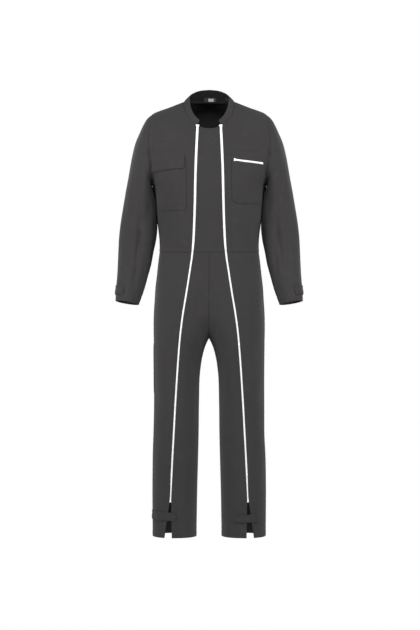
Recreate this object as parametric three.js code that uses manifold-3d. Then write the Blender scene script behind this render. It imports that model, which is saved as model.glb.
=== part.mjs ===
import * as THREE from 'three';
import { mergeVertices } from 'three/addons/utils/BufferGeometryUtils.js';
import Module from 'manifold-3d';

// Boiler suit, filled out as worn with nobody in it. Millimetres, +Z up, the front faces -Y,
// +X is the wearer's left. The origin is between the shoulders, at the foot of the neck.

const wasm = await Module();
wasm.setup();

const clothThick = 1.6;
const collarThick = 2.2;
const pocketThick = 1.4;
const flapThick = 1.6;
const tabThick = 2;
const labelThick = 0.8;
const zipThick = 2.4;
const zipProud = 0.8;
const seamGap = 0.3;
const patchGap = 0.5;

// Places down the side of the body, from the neckline.
const shoulderTipDown = 117;
const underarmDown = 362;
const waistDown = 590;
const armholeSteps = 10;

const crotchZ = -817;
const zipEndZ = -1379;
const hemZ = -1504;

const degree = Math.PI / 180;

const mixed = (a, b, share) => a + (b - a) * share;
const counted = (count) => Array.from({ length: count }, (unused, index) => index);
const evenly = (from, to, steps) => counted(steps + 1).map((step) => mixed(from, to, step / steps));

// A table of sections: its first column places each row, and the others run smoothly between rows.
function readTable(columns, rows) {
  const order = Math.sign(rows[1][0] - rows[0][0]);
  const last = rows.length - 1;
  const slope = (row, column) => {
    const [before, here, after] = [rows[Math.max(row - 1, 0)], rows[row], rows[Math.min(row + 1, last)]];
    const [stepIn, stepOut] = [here[0] - before[0], after[0] - here[0]];
    const [riseIn, riseOut] = [here[column] - before[column], after[column] - here[column]];
    if (stepIn === 0) return riseOut / stepOut;
    if (stepOut === 0) return riseIn / stepIn;
    return ((riseIn / stepIn) * stepOut + (riseOut / stepOut) * stepIn) / (stepIn + stepOut);
  };
  return (name, at) => {
    const column = columns.indexOf(name);
    let next = 1;
    while (next < last && order * (at - rows[next][0]) > 0) next += 1;
    const [from, to] = [rows[next - 1], rows[next]];
    const span = to[0] - from[0];
    const t = Math.min(Math.max((at - from[0]) / span, 0), 1);
    const [t2, t3] = [t * t, t * t * t];
    return (2 * t3 - 3 * t2 + 1) * from[column] + (t3 - 2 * t2 + t) * span * slope(next - 1, column)
      + (3 * t2 - 2 * t3) * to[column] + (t3 - t2) * span * slope(next, column);
  };
}

// Soft creases in the cloth: each is a trough (depth below zero) or ridge that fades along and across.
function creaseShift(creases, turn, along) {
  return creases.reduce((sum, [atTurn, atAlong, halfTurn, halfLong, slant, height]) => {
    const down = along - atAlong;
    const across = (turn - atTurn - slant * down) / halfTurn;
    return sum + height * Math.exp(-across * across - (down / halfLong) ** 2);
  }, 0);
}

// A rounded oval of unit size: the angle is zero at the front and a quarter turn at the side.
function unitOval(angle, square) {
  const [side, front] = [Math.sin(angle), Math.cos(angle)];
  const reach = (Math.abs(side) ** square + Math.abs(front) ** square) ** (-1 / square);
  return [reach * side, reach * front];
}

const ovalRest = (share, square) => (1 - Math.min(Math.abs(share), 1) ** square) ** (1 / square);

// Body: sections down the side, from the neckline over the shoulder and down to the waist seam.
// Between the shoulder tip and the underarm the half widths run on past the armhole's edge.
const torso = readTable(
  ['down', 'sideZ', 'frontZ', 'backZ', 'frontHalf', 'backHalf', 'frontDeep', 'backDeep', 'dip', 'square'],
  [
    [0, -2, -94, 2, 88, 88, 72, 70, 1, 2],
    [33, -14, -100, -5, 119, 119, 77.5, 79, 1.3, 2.05],
    [61, -24, -107, -14, 145, 145, 83, 87, 1.6, 2.1],
    [92, -34, -116, -27, 174, 174, 89, 95, 1.9, 2.2],
    [117, -45, -126, -40, 197, 197, 94.5, 101.5, 2, 2.26],
    [147, -75, -143, -62, 222, 224, 102, 109, 2, 2.3],
    [180, -108, -165, -90, 243, 247, 109.5, 114.5, 2, 2.3],
    [240, -168, -208, -146, 256, 263, 119, 120, 2, 2.3],
    [280, -208, -239, -190, 240, 246, 124, 121, 2, 2.3],
    [315, -243, -264, -230, 219, 222, 127, 120, 2, 2.3],
    [340, -268, -282, -260, 204.5, 205.5, 128.5, 118, 2, 2.3],
    [362, -290, -299, -285, 194, 194, 129, 117, 2, 2.3],
    [390, -318, -323, -315, 188.5, 188.5, 128, 114, 2, 2.3],
    [415, -343, -346, -341, 187, 187, 126, 111.5, 2, 2.3],
    [440, -368, -370, -367, 185, 185, 124, 109, 2, 2.3],
    [475, -403, -404, -403, 181, 181, 121, 106, 2, 2.3],
    [510, -438, -438, -438, 175.5, 175.5, 118, 104, 2, 2.3],
    [550, -478, -478, -478, 171.2, 171.2, 115.5, 102.5, 2, 2.3],
    [590, -518, -518, -518, 170.2, 170.2, 114, 103, 2, 2.3],
  ],
);

// The armhole's edge: its distance from the centre, down from the shoulder tip to the underarm.
const armhole = readTable(['down', 'side'], [
  [117, 197],
  [147, 204],
  [180, 208.5],
  [240, 206],
  [280, 198.5],
  [315, 195],
  [362, 194],
]);

// turn, down, half turn, half length, slant, height: chest troughs beside the sleeves, waist, back.
const torsoCreases = [
  [42, 205, 5, 42, 0.02, -4.5],
  [63, 330, 6, 55, -0.05, -3],
  [70, 520, 8, 40, 0.1, -2.5],
  [138, 235, 6, 60, -0.03, -4],
  [118, 400, 8, 60, 0.08, -3],
  [150, 540, 12, 26, 0.2, -2.5],
];

function torsoSection(down, isBack) {
  const square = torso('square', down);
  const half = torso(isBack ? 'backHalf' : 'frontHalf', down);
  const hasArmhole = down > shoulderTipDown && down < underarmDown;
  const edgeSide = hasArmhole ? Math.min(armhole('side', down) / half, 1) : 1;
  const edgeAngle = Math.atan2(edgeSide, ovalRest(edgeSide, square));
  return { deep: torso(isBack ? 'backDeep' : 'frontDeep', down), square, half, edgeAngle };
}

const torsoForm = {
  point(turn, down) {
    const isBack = Math.abs(turn) > 90;
    const { deep, square, half } = torsoSection(down, isBack);
    const [side, front] = unitOval(turn * degree, square);
    const sideZ = torso('sideZ', down);
    const fall = torso(isBack ? 'backZ' : 'frontZ', down) - sideZ;
    const z = sideZ + fall * Math.abs(front) ** torso('dip', down);
    const point = new THREE.Vector3(half * side, -deep * front, z);
    const shift = creaseShift(torsoCreases, Math.abs(turn), down);
    return point.add(new THREE.Vector3(side, -front, 0).normalize().multiplyScalar(shift));
  },
  middle: (down) => new THREE.Vector3(0, 0, torso('sideZ', down) - 100),
};

// One leg of the wearer's left side, with its half of the seat. inner is below zero above the crotch,
// where the two halves meet on the centre seam.
const leg = readTable(
  ['z', 'outer', 'inner', 'frontDeep', 'backDeep', 'middleY', 'square'],
  [
    [-518, 170.2, -170.2, 114, 103, 0, 2.3],
    [-560, 175.8, -167, 115, 109, 0, 2.3],
    [-600, 180.2, -153, 117, 117, 0, 2.3],
    [-640, 185, -138, 119, 126, 0, 2.3],
    [-680, 187.5, -114, 120, 132, 0, 2.3],
    [-740, 191.2, -67, 119, 136, 0, 2.3],
    [-780, 191.7, -29, 116, 134, 0, 2.3],
    [-800, 191.6, -12, 114, 131, 0, 2.3],
    [-811, 191.4, -4, 113, 130, 0, 2.3],
    [-817, 191.2, 0, 112, 129, 0, 2.3],
    [-824, 191, 4, 111, 128, 0, 2.28],
    [-844, 190.9, 13, 109, 124, 0, 2.25],
    [-879, 190.5, 23, 106, 118, 0, 2.2],
    [-927, 190.2, 30.5, 102, 111, 0, 2.2],
    [-1037, 190.2, 35, 97, 100, -2, 2.15],
    [-1140, 192.2, 36.2, 93, 94, -3, 2.15],
    [-1240, 195.7, 38.5, 89, 89, -1, 2.15],
    [-1340, 196.3, 41.2, 85, 85, 2, 2.15],
    [-1504, 195.5, 44, 80, 80, 5, 2.15],
  ],
);

// turn, z, half turn, half length, slant, height: drag lines from the crotch, knee, calf and seat.
const legCreases = [
  [-32, -775, 9, 34, 0.2, -3.5],
  [-8, -700, 9, 50, 0.22, -2.5],
  [-48, -900, 12, 60, 0.1, -3],
  [62, -1010, 14, 50, 0.16, -3],
  [-30, -1180, 16, 45, -0.2, -3],
  [70, -1290, 16, 55, 0.14, -2.5],
  [205, -850, 16, 26, -0.5, -4.5],
  [165, -1070, 22, 22, 0.6, -3.5],
  [200, -1110, 20, 20, -0.5, -3.5],
  [180, -1300, 22, 45, 0.2, -3],
];

function legSection(z) {
  const [outer, inner] = [leg('outer', z), leg('inner', z)];
  return { middleX: (outer + inner) / 2, half: (outer - inner) / 2, square: leg('square', z) };
}

const legForm = {
  point(turn, z) {
    const { middleX, half, square } = legSection(z);
    const [side, front] = unitOval(turn * degree, square);
    const deep = leg(front < 0 ? 'backDeep' : 'frontDeep', z);
    const point = new THREE.Vector3(middleX + half * side, leg('middleY', z) - deep * front, z);
    const shift = creaseShift(legCreases, turn, z);
    return point.add(new THREE.Vector3(side, -front, 0).normalize().multiplyScalar(shift));
  },
  middle: (z) => new THREE.Vector3(legSection(z).middleX, leg('middleY', z), z),
};

// Sleeve of the wearer's left side: rings between an outer and an inner line, from the armhole's
// upright ring, which fans about the underarm, to the cuff's level one.
const sleeve = readTable(
  ['along', 'outerX', 'outerZ', 'innerX', 'innerZ', 'middleY', 'frontDeep', 'backDeep', 'pitch'],
  [
    [0, 197, -45, 194, -290, 0, 80, 86, 0],
    [19, 212, -57, 196.2, -288.8, 0, 82, 86, 0],
    [53, 230, -86, 198, -289.2, 0, 83, 86, 0],
    [77, 240, -108, 198.6, -291, 0, 83, 85, 0],
    [113, 254, -141, 197.6, -295, 0, 82, 84, 0],
    [156, 265, -183, 195, -301.5, 0, 80, 83, 0],
    [199, 273, -225, 192.3, -310, 0, 78, 81, 0],
    [241, 280, -266, 190, -323, 0, 76, 79, 0],
    [283, 288, -308, 188.4, -343, 0, 74, 76, 0],
    [325, 295, -349, 186.3, -369, 0, 70, 72, 0],
    [367, 302, -391, 183, -400, -1, 65, 66, 1],
    [409, 308, -432, 180.3, -436, -3, 61, 61, 2],
    [450, 312, -473, 184, -475, -6, 58, 58, 4],
    [492, 314, -515, 193, -518, -11, 55, 55, 6],
    [534, 315.6, -557, 201, -561, -17, 52, 52, 7],
    [575, 317.6, -598, 212.5, -603, -23, 49, 49, 8],
    [617, 321, -640, 225, -648, -29, 46, 46, 8],
    [664, 323, -687, 244, -700, -36, 44, 44, 8],
  ],
);
const cuffAlong = 664;
const armholeBlend = 330;

// turn, along, half turn, half length, slant, height: inside the elbow, along the upper arm, forearm,
// and where the cloth bulges against the body.
const sleeveCreases = [
  [112, 385, 20, 16, 0.5, -4],
  [96, 440, 18, 15, 0.6, -3.5],
  [60, 250, 12, 70, 0.04, -3],
  [75, 530, 13, 60, 0.06, -3],
  [250, 400, 20, 18, -0.5, -3.5],
  [290, 260, 14, 70, -0.05, -3],
  [285, 540, 14, 60, 0.05, -2.5],
  [150, 310, 15, 80, 0, 9],
  [212, 320, 16, 70, 0, 5],
];

// Armhole line: from the shoulder tip down the front to the underarm and up the back again.
function armholePlace(turn) {
  const isBack = turn > 180;
  const middle = (shoulderTipDown + underarmDown) / 2;
  const down = middle - ((underarmDown - shoulderTipDown) / 2) * Math.cos(turn * degree);
  const edgeAngle = torsoSection(down, isBack).edgeAngle / degree;
  return { down, turn: isBack ? 180 - edgeAngle : edgeAngle };
}

function plainSleevePoint(turn, along) {
  const half = new THREE.Vector3(sleeve('outerX', along) - sleeve('innerX', along), 0,
    sleeve('outerZ', along) - sleeve('innerZ', along)).multiplyScalar(0.5);
  const point = new THREE.Vector3(sleeve('innerX', along), 0, sleeve('innerZ', along)).add(half);
  point.addScaledVector(half, Math.cos(turn * degree));
  const offset = -sleeve(turn > 180 ? 'backDeep' : 'frontDeep', along) * Math.sin(turn * degree);
  const pitch = sleeve('pitch', along) * degree;
  return point.add(new THREE.Vector3(0, sleeve('middleY', along) + offset, -offset * Math.tan(pitch)));
}

const sleeveForm = {
  point(turn, along) {
    const around = ((turn % 360) + 360) % 360;
    const point = plainSleevePoint(around, along);
    const fade = Math.max(1 - along / armholeBlend, 0) ** 2;
    if (fade > 0) {
      const place = armholePlace(around);
      const line = torsoForm.point(place.turn, place.down);
      point.add(line.sub(plainSleevePoint(around, 0)).multiplyScalar(fade));
    }
    const centre = this.middle(along);
    const away = point.clone().sub(centre).normalize();
    return point.addScaledVector(away, creaseShift(sleeveCreases, around, along));
  },
  middle: (along) => new THREE.Vector3((sleeve('outerX', along) + sleeve('innerX', along)) / 2,
    sleeve('middleY', along), (sleeve('outerZ', along) + sleeve('innerZ', along)) / 2),
};

// Stand collar: from the neckline it leans in by inward and rises by rise, at each turn from the front.
const collarLean = readTable(['turn', 'inward', 'rise'], [
  [20, 13, 20],
  [60, 18, 19],
  [90, 20, 20],
  [125, 17, 30],
  [155, 12, 39],
  [180, 10, 42],
]);

const collarForm = {
  point(turn, share) {
    const base = torsoForm.point(turn, 0);
    const inwards = new THREE.Vector3(-base.x, -base.y, 0).normalize();
    const bow = 0.12 * Math.sin(Math.PI * share);
    return base.addScaledVector(inwards, collarLean('inward', Math.abs(turn)) * (share - bow))
      .add(new THREE.Vector3(0, 0, collarLean('rise', Math.abs(turn)) * share));
  },
  middle: () => new THREE.Vector3(0, 0, -60),
};

// Main zips: the two edges of each zip, and of the slit below it, as distances from the centre.
const zipLine = readTable(['z', 'middle', 'innerHalf', 'outerHalf'], [
  [-80, 39.3, 4.7, 4.7],
  [-150, 42.8, 4.7, 4.7],
  [-220, 45.8, 4.6, 4.6],
  [-350, 48.8, 4.5, 4.5],
  [-430, 51.4, 4.4, 4.4],
  [-490, 54.6, 4.2, 4.2],
  [-525, 57.9, 3.7, 3.7],
  [-590, 67.3, 3.5, 3.5],
  [-660, 78.3, 3.5, 3.5],
  [-730, 89.9, 3.5, 3.5],
  [-800, 99, 3.5, 3.5],
  [-870, 105, 3.5, 3.5],
  [-1000, 113.8, 3.5, 3.5],
  [-1140, 121.6, 3.5, 3.5],
  [-1280, 129, 3.5, 3.5],
  [-1379, 133.5, 3.6, 3.6],
  [-1420, 136.5, 7.5, 7.5],
  [-1504, 142, 14, 14],
]);
const zipInner = (z) => zipLine('middle', z) - zipLine('innerHalf', z);
const zipOuter = (z) => zipLine('middle', z) + zipLine('outerHalf', z);

// The turn at which a form's front reaches a distance from the centre.
function torsoFrontTurn(distance, down) {
  const { half, square } = torsoSection(down, false);
  const side = distance / half;
  return Math.atan2(side, ovalRest(side, square)) / degree;
}

function legFrontTurn(distance, z) {
  const { middleX, half, square } = legSection(z);
  const side = (distance - middleX) / half;
  return Math.atan2(side, ovalRest(side, square)) / degree;
}

const seamOnTorso = (edge) => (down) => torsoFrontTurn(edge(torso('frontZ', down)), down);
const seamOnLeg = (edge) => (z) => legFrontTurn(edge(z), z);
const centreFrontTurn = (z) => (z > crotchZ ? legFrontTurn(0, z) : -90);
const centreBackTurn = (z) => (z > crotchZ ? 180 - legFrontTurn(0, z) : 270);

function outward(form, turn, along) {
  const [turnStep, alongStep] = form === collarForm ? [0.5, 0.02] : [0.5, 0.5];
  const across = form.point(turn + turnStep, along).sub(form.point(turn - turnStep, along));
  const down = form.point(turn, along + alongStep).sub(form.point(turn, along - alongStep));
  const normal = across.cross(down).normalize();
  const away = form.point(turn, along).sub(form.middle(along));
  return normal.dot(away) < 0 ? normal.negate() : normal;
}

const vertexOn = (form, turn, along) => ({
  point: form.point(turn, along),
  normal: outward(form, turn, along),
});

function movedTowards(vertex, target, distance) {
  const way = target.clone().sub(vertex.point).normalize();
  return { point: vertex.point.clone().addScaledVector(way, distance), normal: vertex.normal };
}

// A panel between two edges of a form. Each edge keeps half a seam gap to the line it is sewn on.
function panelGrid(form, alongs, columns, startTurn, endTurn) {
  const last = alongs.length - 1;
  const place = (row, column) => {
    const along = alongs[row];
    return [mixed(startTurn(along), endTurn(along), column / columns), along];
  };
  return alongs.map((along, row) => counted(columns + 1).map((column) => {
    let vertex = vertexOn(form, ...place(row, column));
    const neighbour = (otherRow, otherColumn) => form.point(...place(otherRow, otherColumn));
    if (column === 0) vertex = movedTowards(vertex, neighbour(row, 1), seamGap / 2);
    if (column === columns) vertex = movedTowards(vertex, neighbour(row, columns - 1), seamGap / 2);
    if (row === 0) vertex = movedTowards(vertex, neighbour(1, column), seamGap / 2);
    if (row === last) vertex = movedTowards(vertex, neighbour(last - 1, column), seamGap / 2);
    return vertex;
  }));
}

function geometryFrom(positions, triangles) {
  const corner = (index) => new THREE.Vector3().fromArray(positions, index * 3);
  const volume = triangles.reduce((sum, [a, b, c]) => sum + corner(a).dot(corner(b).cross(corner(c))), 0);
  const facing = triangles.map(([a, b, c]) => (volume < 0 ? [a, c, b] : [a, b, c]));
  const geometry = new THREE.BufferGeometry();
  geometry.setAttribute('position', new THREE.Float32BufferAttribute(positions, 3));
  geometry.setIndex(facing.flat());
  geometry.computeVertexNormals();
  return geometry;
}

// Cloth as a closed wall: the grid's points moved out by lift, and the same points a thickness below.
function clothWall(grid, { thick = clothThick, lift = 0, isTube = false } = {}) {
  const [rows, columns] = [grid.length, grid[0].length];
  const liftAt = (row, column) => (typeof lift === 'function' ? lift(row, column) : lift);
  const positions = [0, thick].flatMap((depth) => grid.flatMap((vertices, row) => vertices.flatMap(
    ({ point, normal }, column) => (
      point.clone().addScaledVector(normal, liftAt(row, column) - depth).toArray()),
  )));
  const index = (row, column, side) => side * rows * columns + row * columns + (column % columns);
  const triangles = [];
  const square = (a, b, c, d) => triangles.push([a, b, c], [a, c, d]);
  const spans = isTube ? columns : columns - 1;
  for (let row = 0; row < rows - 1; row += 1) {
    for (let column = 0; column < spans; column += 1) {
      square(index(row, column, 0), index(row + 1, column, 0),
        index(row + 1, column + 1, 0), index(row, column + 1, 0));
      square(index(row, column + 1, 1), index(row + 1, column + 1, 1),
        index(row + 1, column, 1), index(row, column, 1));
    }
    if (!isTube) {
      const end = columns - 1;
      square(index(row, 0, 0), index(row, 0, 1), index(row + 1, 0, 1), index(row + 1, 0, 0));
      square(index(row, end, 1), index(row, end, 0), index(row + 1, end, 0), index(row + 1, end, 1));
    }
  }
  for (let column = 0; column < spans; column += 1) {
    const end = rows - 1;
    square(index(0, column, 1), index(0, column, 0), index(0, column + 1, 0), index(0, column + 1, 1));
    square(index(end, column, 0), index(end, column, 1),
      index(end, column + 1, 1), index(end, column + 1, 0));
  }
  return geometryFrom(positions, triangles);
}

const mirroredVertex = ({ point, normal }) => ({
  point: new THREE.Vector3(-point.x, point.y, point.z),
  normal: new THREE.Vector3(-normal.x, normal.y, normal.z),
});
const mirrored = (grid) => grid.map((row) => row.map(mirroredVertex));

const cloth = { color: 0x454344, roughness: 0.86, metalness: 0 };
const zipWhite = { color: 0xf2f2f0, roughness: 0.45, metalness: 0 };
const labelCloth = { color: 0x3a393b, roughness: 0.7, metalness: 0 };

const suit = new THREE.Group();

function addPiece(name, geometry, finish) {
  const piece = new THREE.Mesh(geometry, new THREE.MeshStandardMaterial(finish));
  piece.name = name;
  suit.add(piece);
  return piece;
}

// Pieces cut in pairs: worked out for the wearer's left and mirrored for the right.
function addPair(name, grid, wall, finish) {
  addPiece(`${name}_left`, clothWall(grid, wall), finish);
  addPiece(`${name}_right`, clothWall(mirrored(grid), wall), finish);
}

// Sleeve and armhole. Both walls meet on a plane halfway between their faces.
const armholeSeam = counted(2 * armholeSteps).map((step) => {
  const turn = (step * 180) / armholeSteps;
  const place = armholePlace(turn);
  const body = vertexOn(torsoForm, place.turn, place.down);
  const centre = sleeveForm.middle(0);
  const start = sleeveForm.point(turn, 0);
  const onwards = sleeveForm.point(turn, 3).sub(start);
  const around = sleeveForm.point(turn + 1, 0).sub(sleeveForm.point(turn - 1, 0));
  const sleeveNormal = around.clone().cross(onwards).normalize();
  if (sleeveNormal.dot(start.clone().sub(centre)) < 0) sleeveNormal.negate();
  const normal = body.normal.clone().add(sleeveNormal).normalize();
  const across = around.cross(normal).normalize();
  if (across.dot(onwards) < 0) across.negate();
  return { point: start, normal, across };
});

function seamVertex(step, side) {
  const { point, normal, across } = armholeSeam[(step + 2 * armholeSteps) % (2 * armholeSteps)];
  return { point: point.clone().addScaledVector(across, (side * seamGap) / 2), normal };
}

const sleeveAlongs = [0, 10, 26, 50, 84, 126, 172, 218, 264, 308, 346, 378, 408, 442, 482, 528, 574,
  620, cuffAlong];
const sleeveGrid = sleeveAlongs.map((along) => armholeSeam.map((seam, step) => {
  if (along === 0) return seamVertex(step, 1);
  return vertexOn(sleeveForm, (step * 180) / armholeSteps, along);
}));
addPair('sleeve', sleeveGrid, { isTube: true }, cloth);

// Body panels.
const shoulderDowns = [0, 20, 42, 66, 92];
const armholeDowns = counted(armholeSteps + 1)
  .map((step) => armholePlace((step * 180) / armholeSteps).down);
const sideDowns = [388, 418, 448, 480, 512, 550, waistDown];
const torsoDowns = [...shoulderDowns, ...armholeDowns, ...sideDowns];
const frontEnd = (down) => torsoSection(down, false).edgeAngle / degree;
const backEnd = (down) => 180 - torsoSection(down, true).edgeAngle / degree;

// Puts the armhole's own seam points on a panel's edge. Its two corners, where the front and the
// back meet at the shoulder tip and the underarm, also keep half a gap to the side seam.
const cornerShare = 0.01;
function withArmhole(grid, column, stepOf) {
  const inward = column === 0 ? 1 : -1;
  armholeDowns.forEach((down, step) => {
    const row = shoulderDowns.length + step;
    const seam = seamVertex(stepOf(step), -1);
    if (step === 0 || step === armholeSteps) {
      seam.point.lerp(grid[row + (step === 0 ? -1 : 1)][column].point, cornerShare);
      seam.point.y += (seamGap / 2) * Math.sign(grid[row][column + inward].point.y);
    }
    grid[row][column] = seam;
  });
  return grid;
}

addPiece('front_centre', clothWall(panelGrid(torsoForm, torsoDowns, 5,
  (down) => -seamOnTorso(zipInner)(down), seamOnTorso(zipInner))), cloth);

const frontColumns = 11;
const frontSide = withArmhole(
  panelGrid(torsoForm, torsoDowns, frontColumns, seamOnTorso(zipOuter), frontEnd),
  frontColumns,
  (step) => step,
);
addPair('front', frontSide, {}, cloth);

const backColumns = 16;
const backTurned = (turn) => (turn > 180 ? turn - 360 : turn);
const backForm = {
  point: (turn, down) => torsoForm.point(backTurned(turn), down),
  middle: torsoForm.middle,
};
const back = panelGrid(backForm, torsoDowns, backColumns, backEnd, (down) => 360 - backEnd(down));
withArmhole(back, 0, (step) => 2 * armholeSteps - step);
back.forEach((row) => {
  row[backColumns] = mirroredVertex(row[0]);
});
addPiece('back', clothWall(back), cloth);

// Collar.
const collarColumns = 36;
const collarShares = [0, 0.5, 1];
const collarFrontZ = -84;
const collarStart = torsoFrontTurn(zipLine('middle', collarFrontZ), 0);
const wholeCollarForm = {
  point: (turn, share) => collarForm.point(backTurned(turn), share),
  middle: collarForm.middle,
};
const collarTurns = evenly(collarStart, 360 - collarStart, collarColumns);
const collarGrid = collarShares.map((share) => collarTurns.map((turn) => {
  const vertex = {
    point: wholeCollarForm.point(turn, share),
    normal: outward(collarForm, backTurned(turn), share),
  };
  const aboveSeam = wholeCollarForm.point(turn, 0.3);
  return share === 0 ? movedTowards(vertex, aboveSeam, 2 * seamGap) : vertex;
}));
addPiece('collar', clothWall(collarGrid, { thick: collarThick }), cloth);

// Trousers. The centre seam runs from the waist under the crotch and up the back again.
const legZs = [-518, -552, -588, -624, -660, -695, -727, -755, -780, -799, -811, crotchZ, -824, -838,
  -860, -895, -940, -990, -1040, -1090, -1140, -1190, -1240, -1290, -1335, zipEndZ, -1415, -1458, hemZ];
const crotchRow = legZs.indexOf(crotchZ);
const legFrontInner = panelGrid(legForm, legZs, 6, centreFrontTurn, seamOnLeg(zipInner));
const legFrontOuter = panelGrid(legForm, legZs, 5, seamOnLeg(zipOuter), () => 90);
const legBackColumns = 9;
const legBack = panelGrid(legForm, legZs, legBackColumns, () => 90, centreBackTurn);

function sewCentre() {
  const seam = [
    ...counted(crotchRow + 1).map((row) => legFrontInner[row][0]),
    ...counted(crotchRow + 1).reverse().map((row) => legBack[row][legBackColumns]),
  ];
  const insideHips = new THREE.Vector3(0, 0, -600);
  const normals = seam.map((vertex, step) => {
    const before = seam[Math.max(step - 1, 0)].point;
    const after = seam[Math.min(step + 1, seam.length - 1)].point;
    const normal = new THREE.Vector3(0, after.z - before.z, before.y - after.y).normalize();
    return normal.dot(vertex.point.clone().sub(insideHips)) < 0 ? normal.negate() : normal;
  });
  seam.forEach((vertex, step) => {
    vertex.point.x = seamGap / 2;
    vertex.normal = normals[step];
  });
  [crotchRow, crotchRow + 1].forEach((step) => {
    seam[step].normal = new THREE.Vector3(0, 0, -1);
  });
}
sewCentre();
addPair('leg_front_inner', legFrontInner, {}, cloth);
addPair('leg_front_outer', legFrontOuter, {}, cloth);
addPair('leg_back', legBack, {}, cloth);

// Main zips, from the neckline over the waist seam to the shin.
const zipZs = legZs.slice(0, legZs.indexOf(zipEndZ) + 1);
const zipGrid = [
  ...panelGrid(torsoForm, torsoDowns, 1, seamOnTorso(zipInner), seamOnTorso(zipOuter)).slice(0, -1),
  ...panelGrid(legForm, zipZs, 1, seamOnLeg(zipInner), seamOnLeg(zipOuter)),
];
addPair('zip', zipGrid, { thick: zipThick, lift: zipProud }, zipWhite);

// Patches on the body's front are placed by their distance from the centre and their height.
const placeRounds = 14;
function torsoPlace(distance, z) {
  let down = -z;
  let turn = 0;
  counted(placeRounds).forEach(() => {
    turn = torsoFrontTurn(distance, down);
    down += torsoForm.point(turn, down).z - z;
  });
  return [turn, down];
}

// The body turns quickly towards its side, so patches stand off a little more there.
const sideRoom = 1.2;
const patchColumns = 9;
const liftTowardsSide = (lift) => (row, column) => lift + (sideRoom * column) / patchColumns;

const patchOnTorso = (shares, columns, distanceAt, zAt) => shares.map((share) => evenly(0, 1, columns)
  .map((across) => vertexOn(torsoForm, ...torsoPlace(distanceAt(across, share), zAt(across, share)))));

// How far a round corner pulls an edge in, at a distance from the end that it rounds off.
const cornerPull = (radius, fromEnd) => (
  radius - Math.sqrt(radius ** 2 - Math.max(radius - fromEnd, 0) ** 2));

// Wearer's right: patch pocket under a flap. The flap's lift lets it pass over the pocket's top.
const flapPocket = {
  top: -206,
  bottom: -373,
  inner: 79,
  outerTop: 190,
  outerBottom: 176,
  corner: 16,
  sag: 3,
};
const flapPocketShares = [0, 0.2, 0.4, 0.6, 0.8, 0.91, 0.96, 1];
const flapPocketDistance = (across, share) => {
  const { top, bottom, inner, outerTop, outerBottom, corner } = flapPocket;
  const pull = cornerPull(corner, (1 - share) * (top - bottom));
  return mixed(inner, mixed(outerTop, outerBottom, share) - pull, across);
};
const flapPocketZ = (across, share) => (
  mixed(flapPocket.top, flapPocket.bottom, share) - flapPocket.sag * across * share);
const flapPocketGrid = patchOnTorso(flapPocketShares, patchColumns, flapPocketDistance, flapPocketZ);
const pocketWall = { thick: pocketThick, lift: liftTowardsSide(patchGap + pocketThick) };
addPiece('chest_pocket_right', clothWall(mirrored(flapPocketGrid), pocketWall), cloth);

const flap = {
  topInnerZ: -177.5,
  topOuterZ: -185.5,
  bottomInnerZ: -232.5,
  bottomOuterZ: -243,
  innerTop: 84,
  innerBottom: 86,
  outerTop: 197,
  outerBottom: 194,
  bow: 1.8,
};
const flapLifts = [0.5, 1, 2.3, 2.6, 2.8, 2.9, 2.9];
const flapShares = [0, 0.15, 0.3, 0.46, 0.64, 0.82, 1];
const flapDistance = (across, share) => mixed(mixed(flap.innerTop, flap.innerBottom, share),
  mixed(flap.outerTop, flap.outerBottom, share), across);
const flapZ = (across, share) => mixed(mixed(flap.topInnerZ, flap.topOuterZ, across),
  mixed(flap.bottomInnerZ, flap.bottomOuterZ, across ** flap.bow), share);
const flapGrid = patchOnTorso(flapShares, patchColumns, flapDistance, flapZ);
addPiece('chest_flap_right', clothWall(mirrored(flapGrid), {
  thick: flapThick,
  lift: (row, column) => liftTowardsSide(flapLifts[row] + flapThick)(row, column),
}), cloth);

// Wearer's left: patch pocket closed by a slanting zip, with a band of the pocket above it.
const zipPocket = { top: -176, bottom: -352, inner: 78, outerTop: 188, outerBottom: 180, corner: 24 };
const pocketZip = { innerZ: -203, outerZ: -214.6, middleZ: -209, half: 4.1, start: 84, end: 184 };
const pocketZipZ = (distance) => mixed(pocketZip.innerZ, pocketZip.outerZ,
  (distance - pocketZip.start) / (pocketZip.end - pocketZip.start));
const zipPocketOuter = (z) => mixed(zipPocket.outerTop, zipPocket.outerBottom,
  (zipPocket.top - z) / (zipPocket.top - zipPocket.bottom));
const zipPocketDistance = (across, z) => {
  const pull = cornerPull(zipPocket.corner, z - zipPocket.bottom);
  return mixed(zipPocket.inner + pull, zipPocketOuter(z), across);
};
const slotEdge = (across, side) => pocketZipZ(zipPocketDistance(across, pocketZip.middleZ))
  + side * (pocketZip.half + seamGap);
const bandZ = (across, share) => mixed(zipPocket.top, slotEdge(across, 1), share);
const lowerZ = (across, share) => mixed(slotEdge(across, -1), zipPocket.bottom, share);
addPiece('chest_pocket_band_left', clothWall(patchOnTorso([0, 0.5, 1], patchColumns,
  (across, share) => zipPocketDistance(across, bandZ(across, share)), bandZ), pocketWall), cloth);
const zipPocketShares = [0, 0.22, 0.44, 0.66, 0.84, 0.93, 0.98, 1];
const zipPocketGrid = patchOnTorso(zipPocketShares, patchColumns,
  (across, share) => zipPocketDistance(across, mixed(pocketZip.middleZ, zipPocket.bottom, share)),
  lowerZ);
addPiece('chest_pocket_left', clothWall(zipPocketGrid, pocketWall), cloth);
const pocketZipDistance = (across) => mixed(pocketZip.start, pocketZip.end, across);
addPiece('pocket_zip', clothWall(patchOnTorso([0, 1], patchColumns, pocketZipDistance,
  (across, share) => pocketZipZ(pocketZipDistance(across)) + (1 - 2 * share) * pocketZip.half), {
  thick: pocketThick + zipProud,
  lift: liftTowardsSide(patchGap + pocketThick + zipProud),
}), zipWhite);

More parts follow.
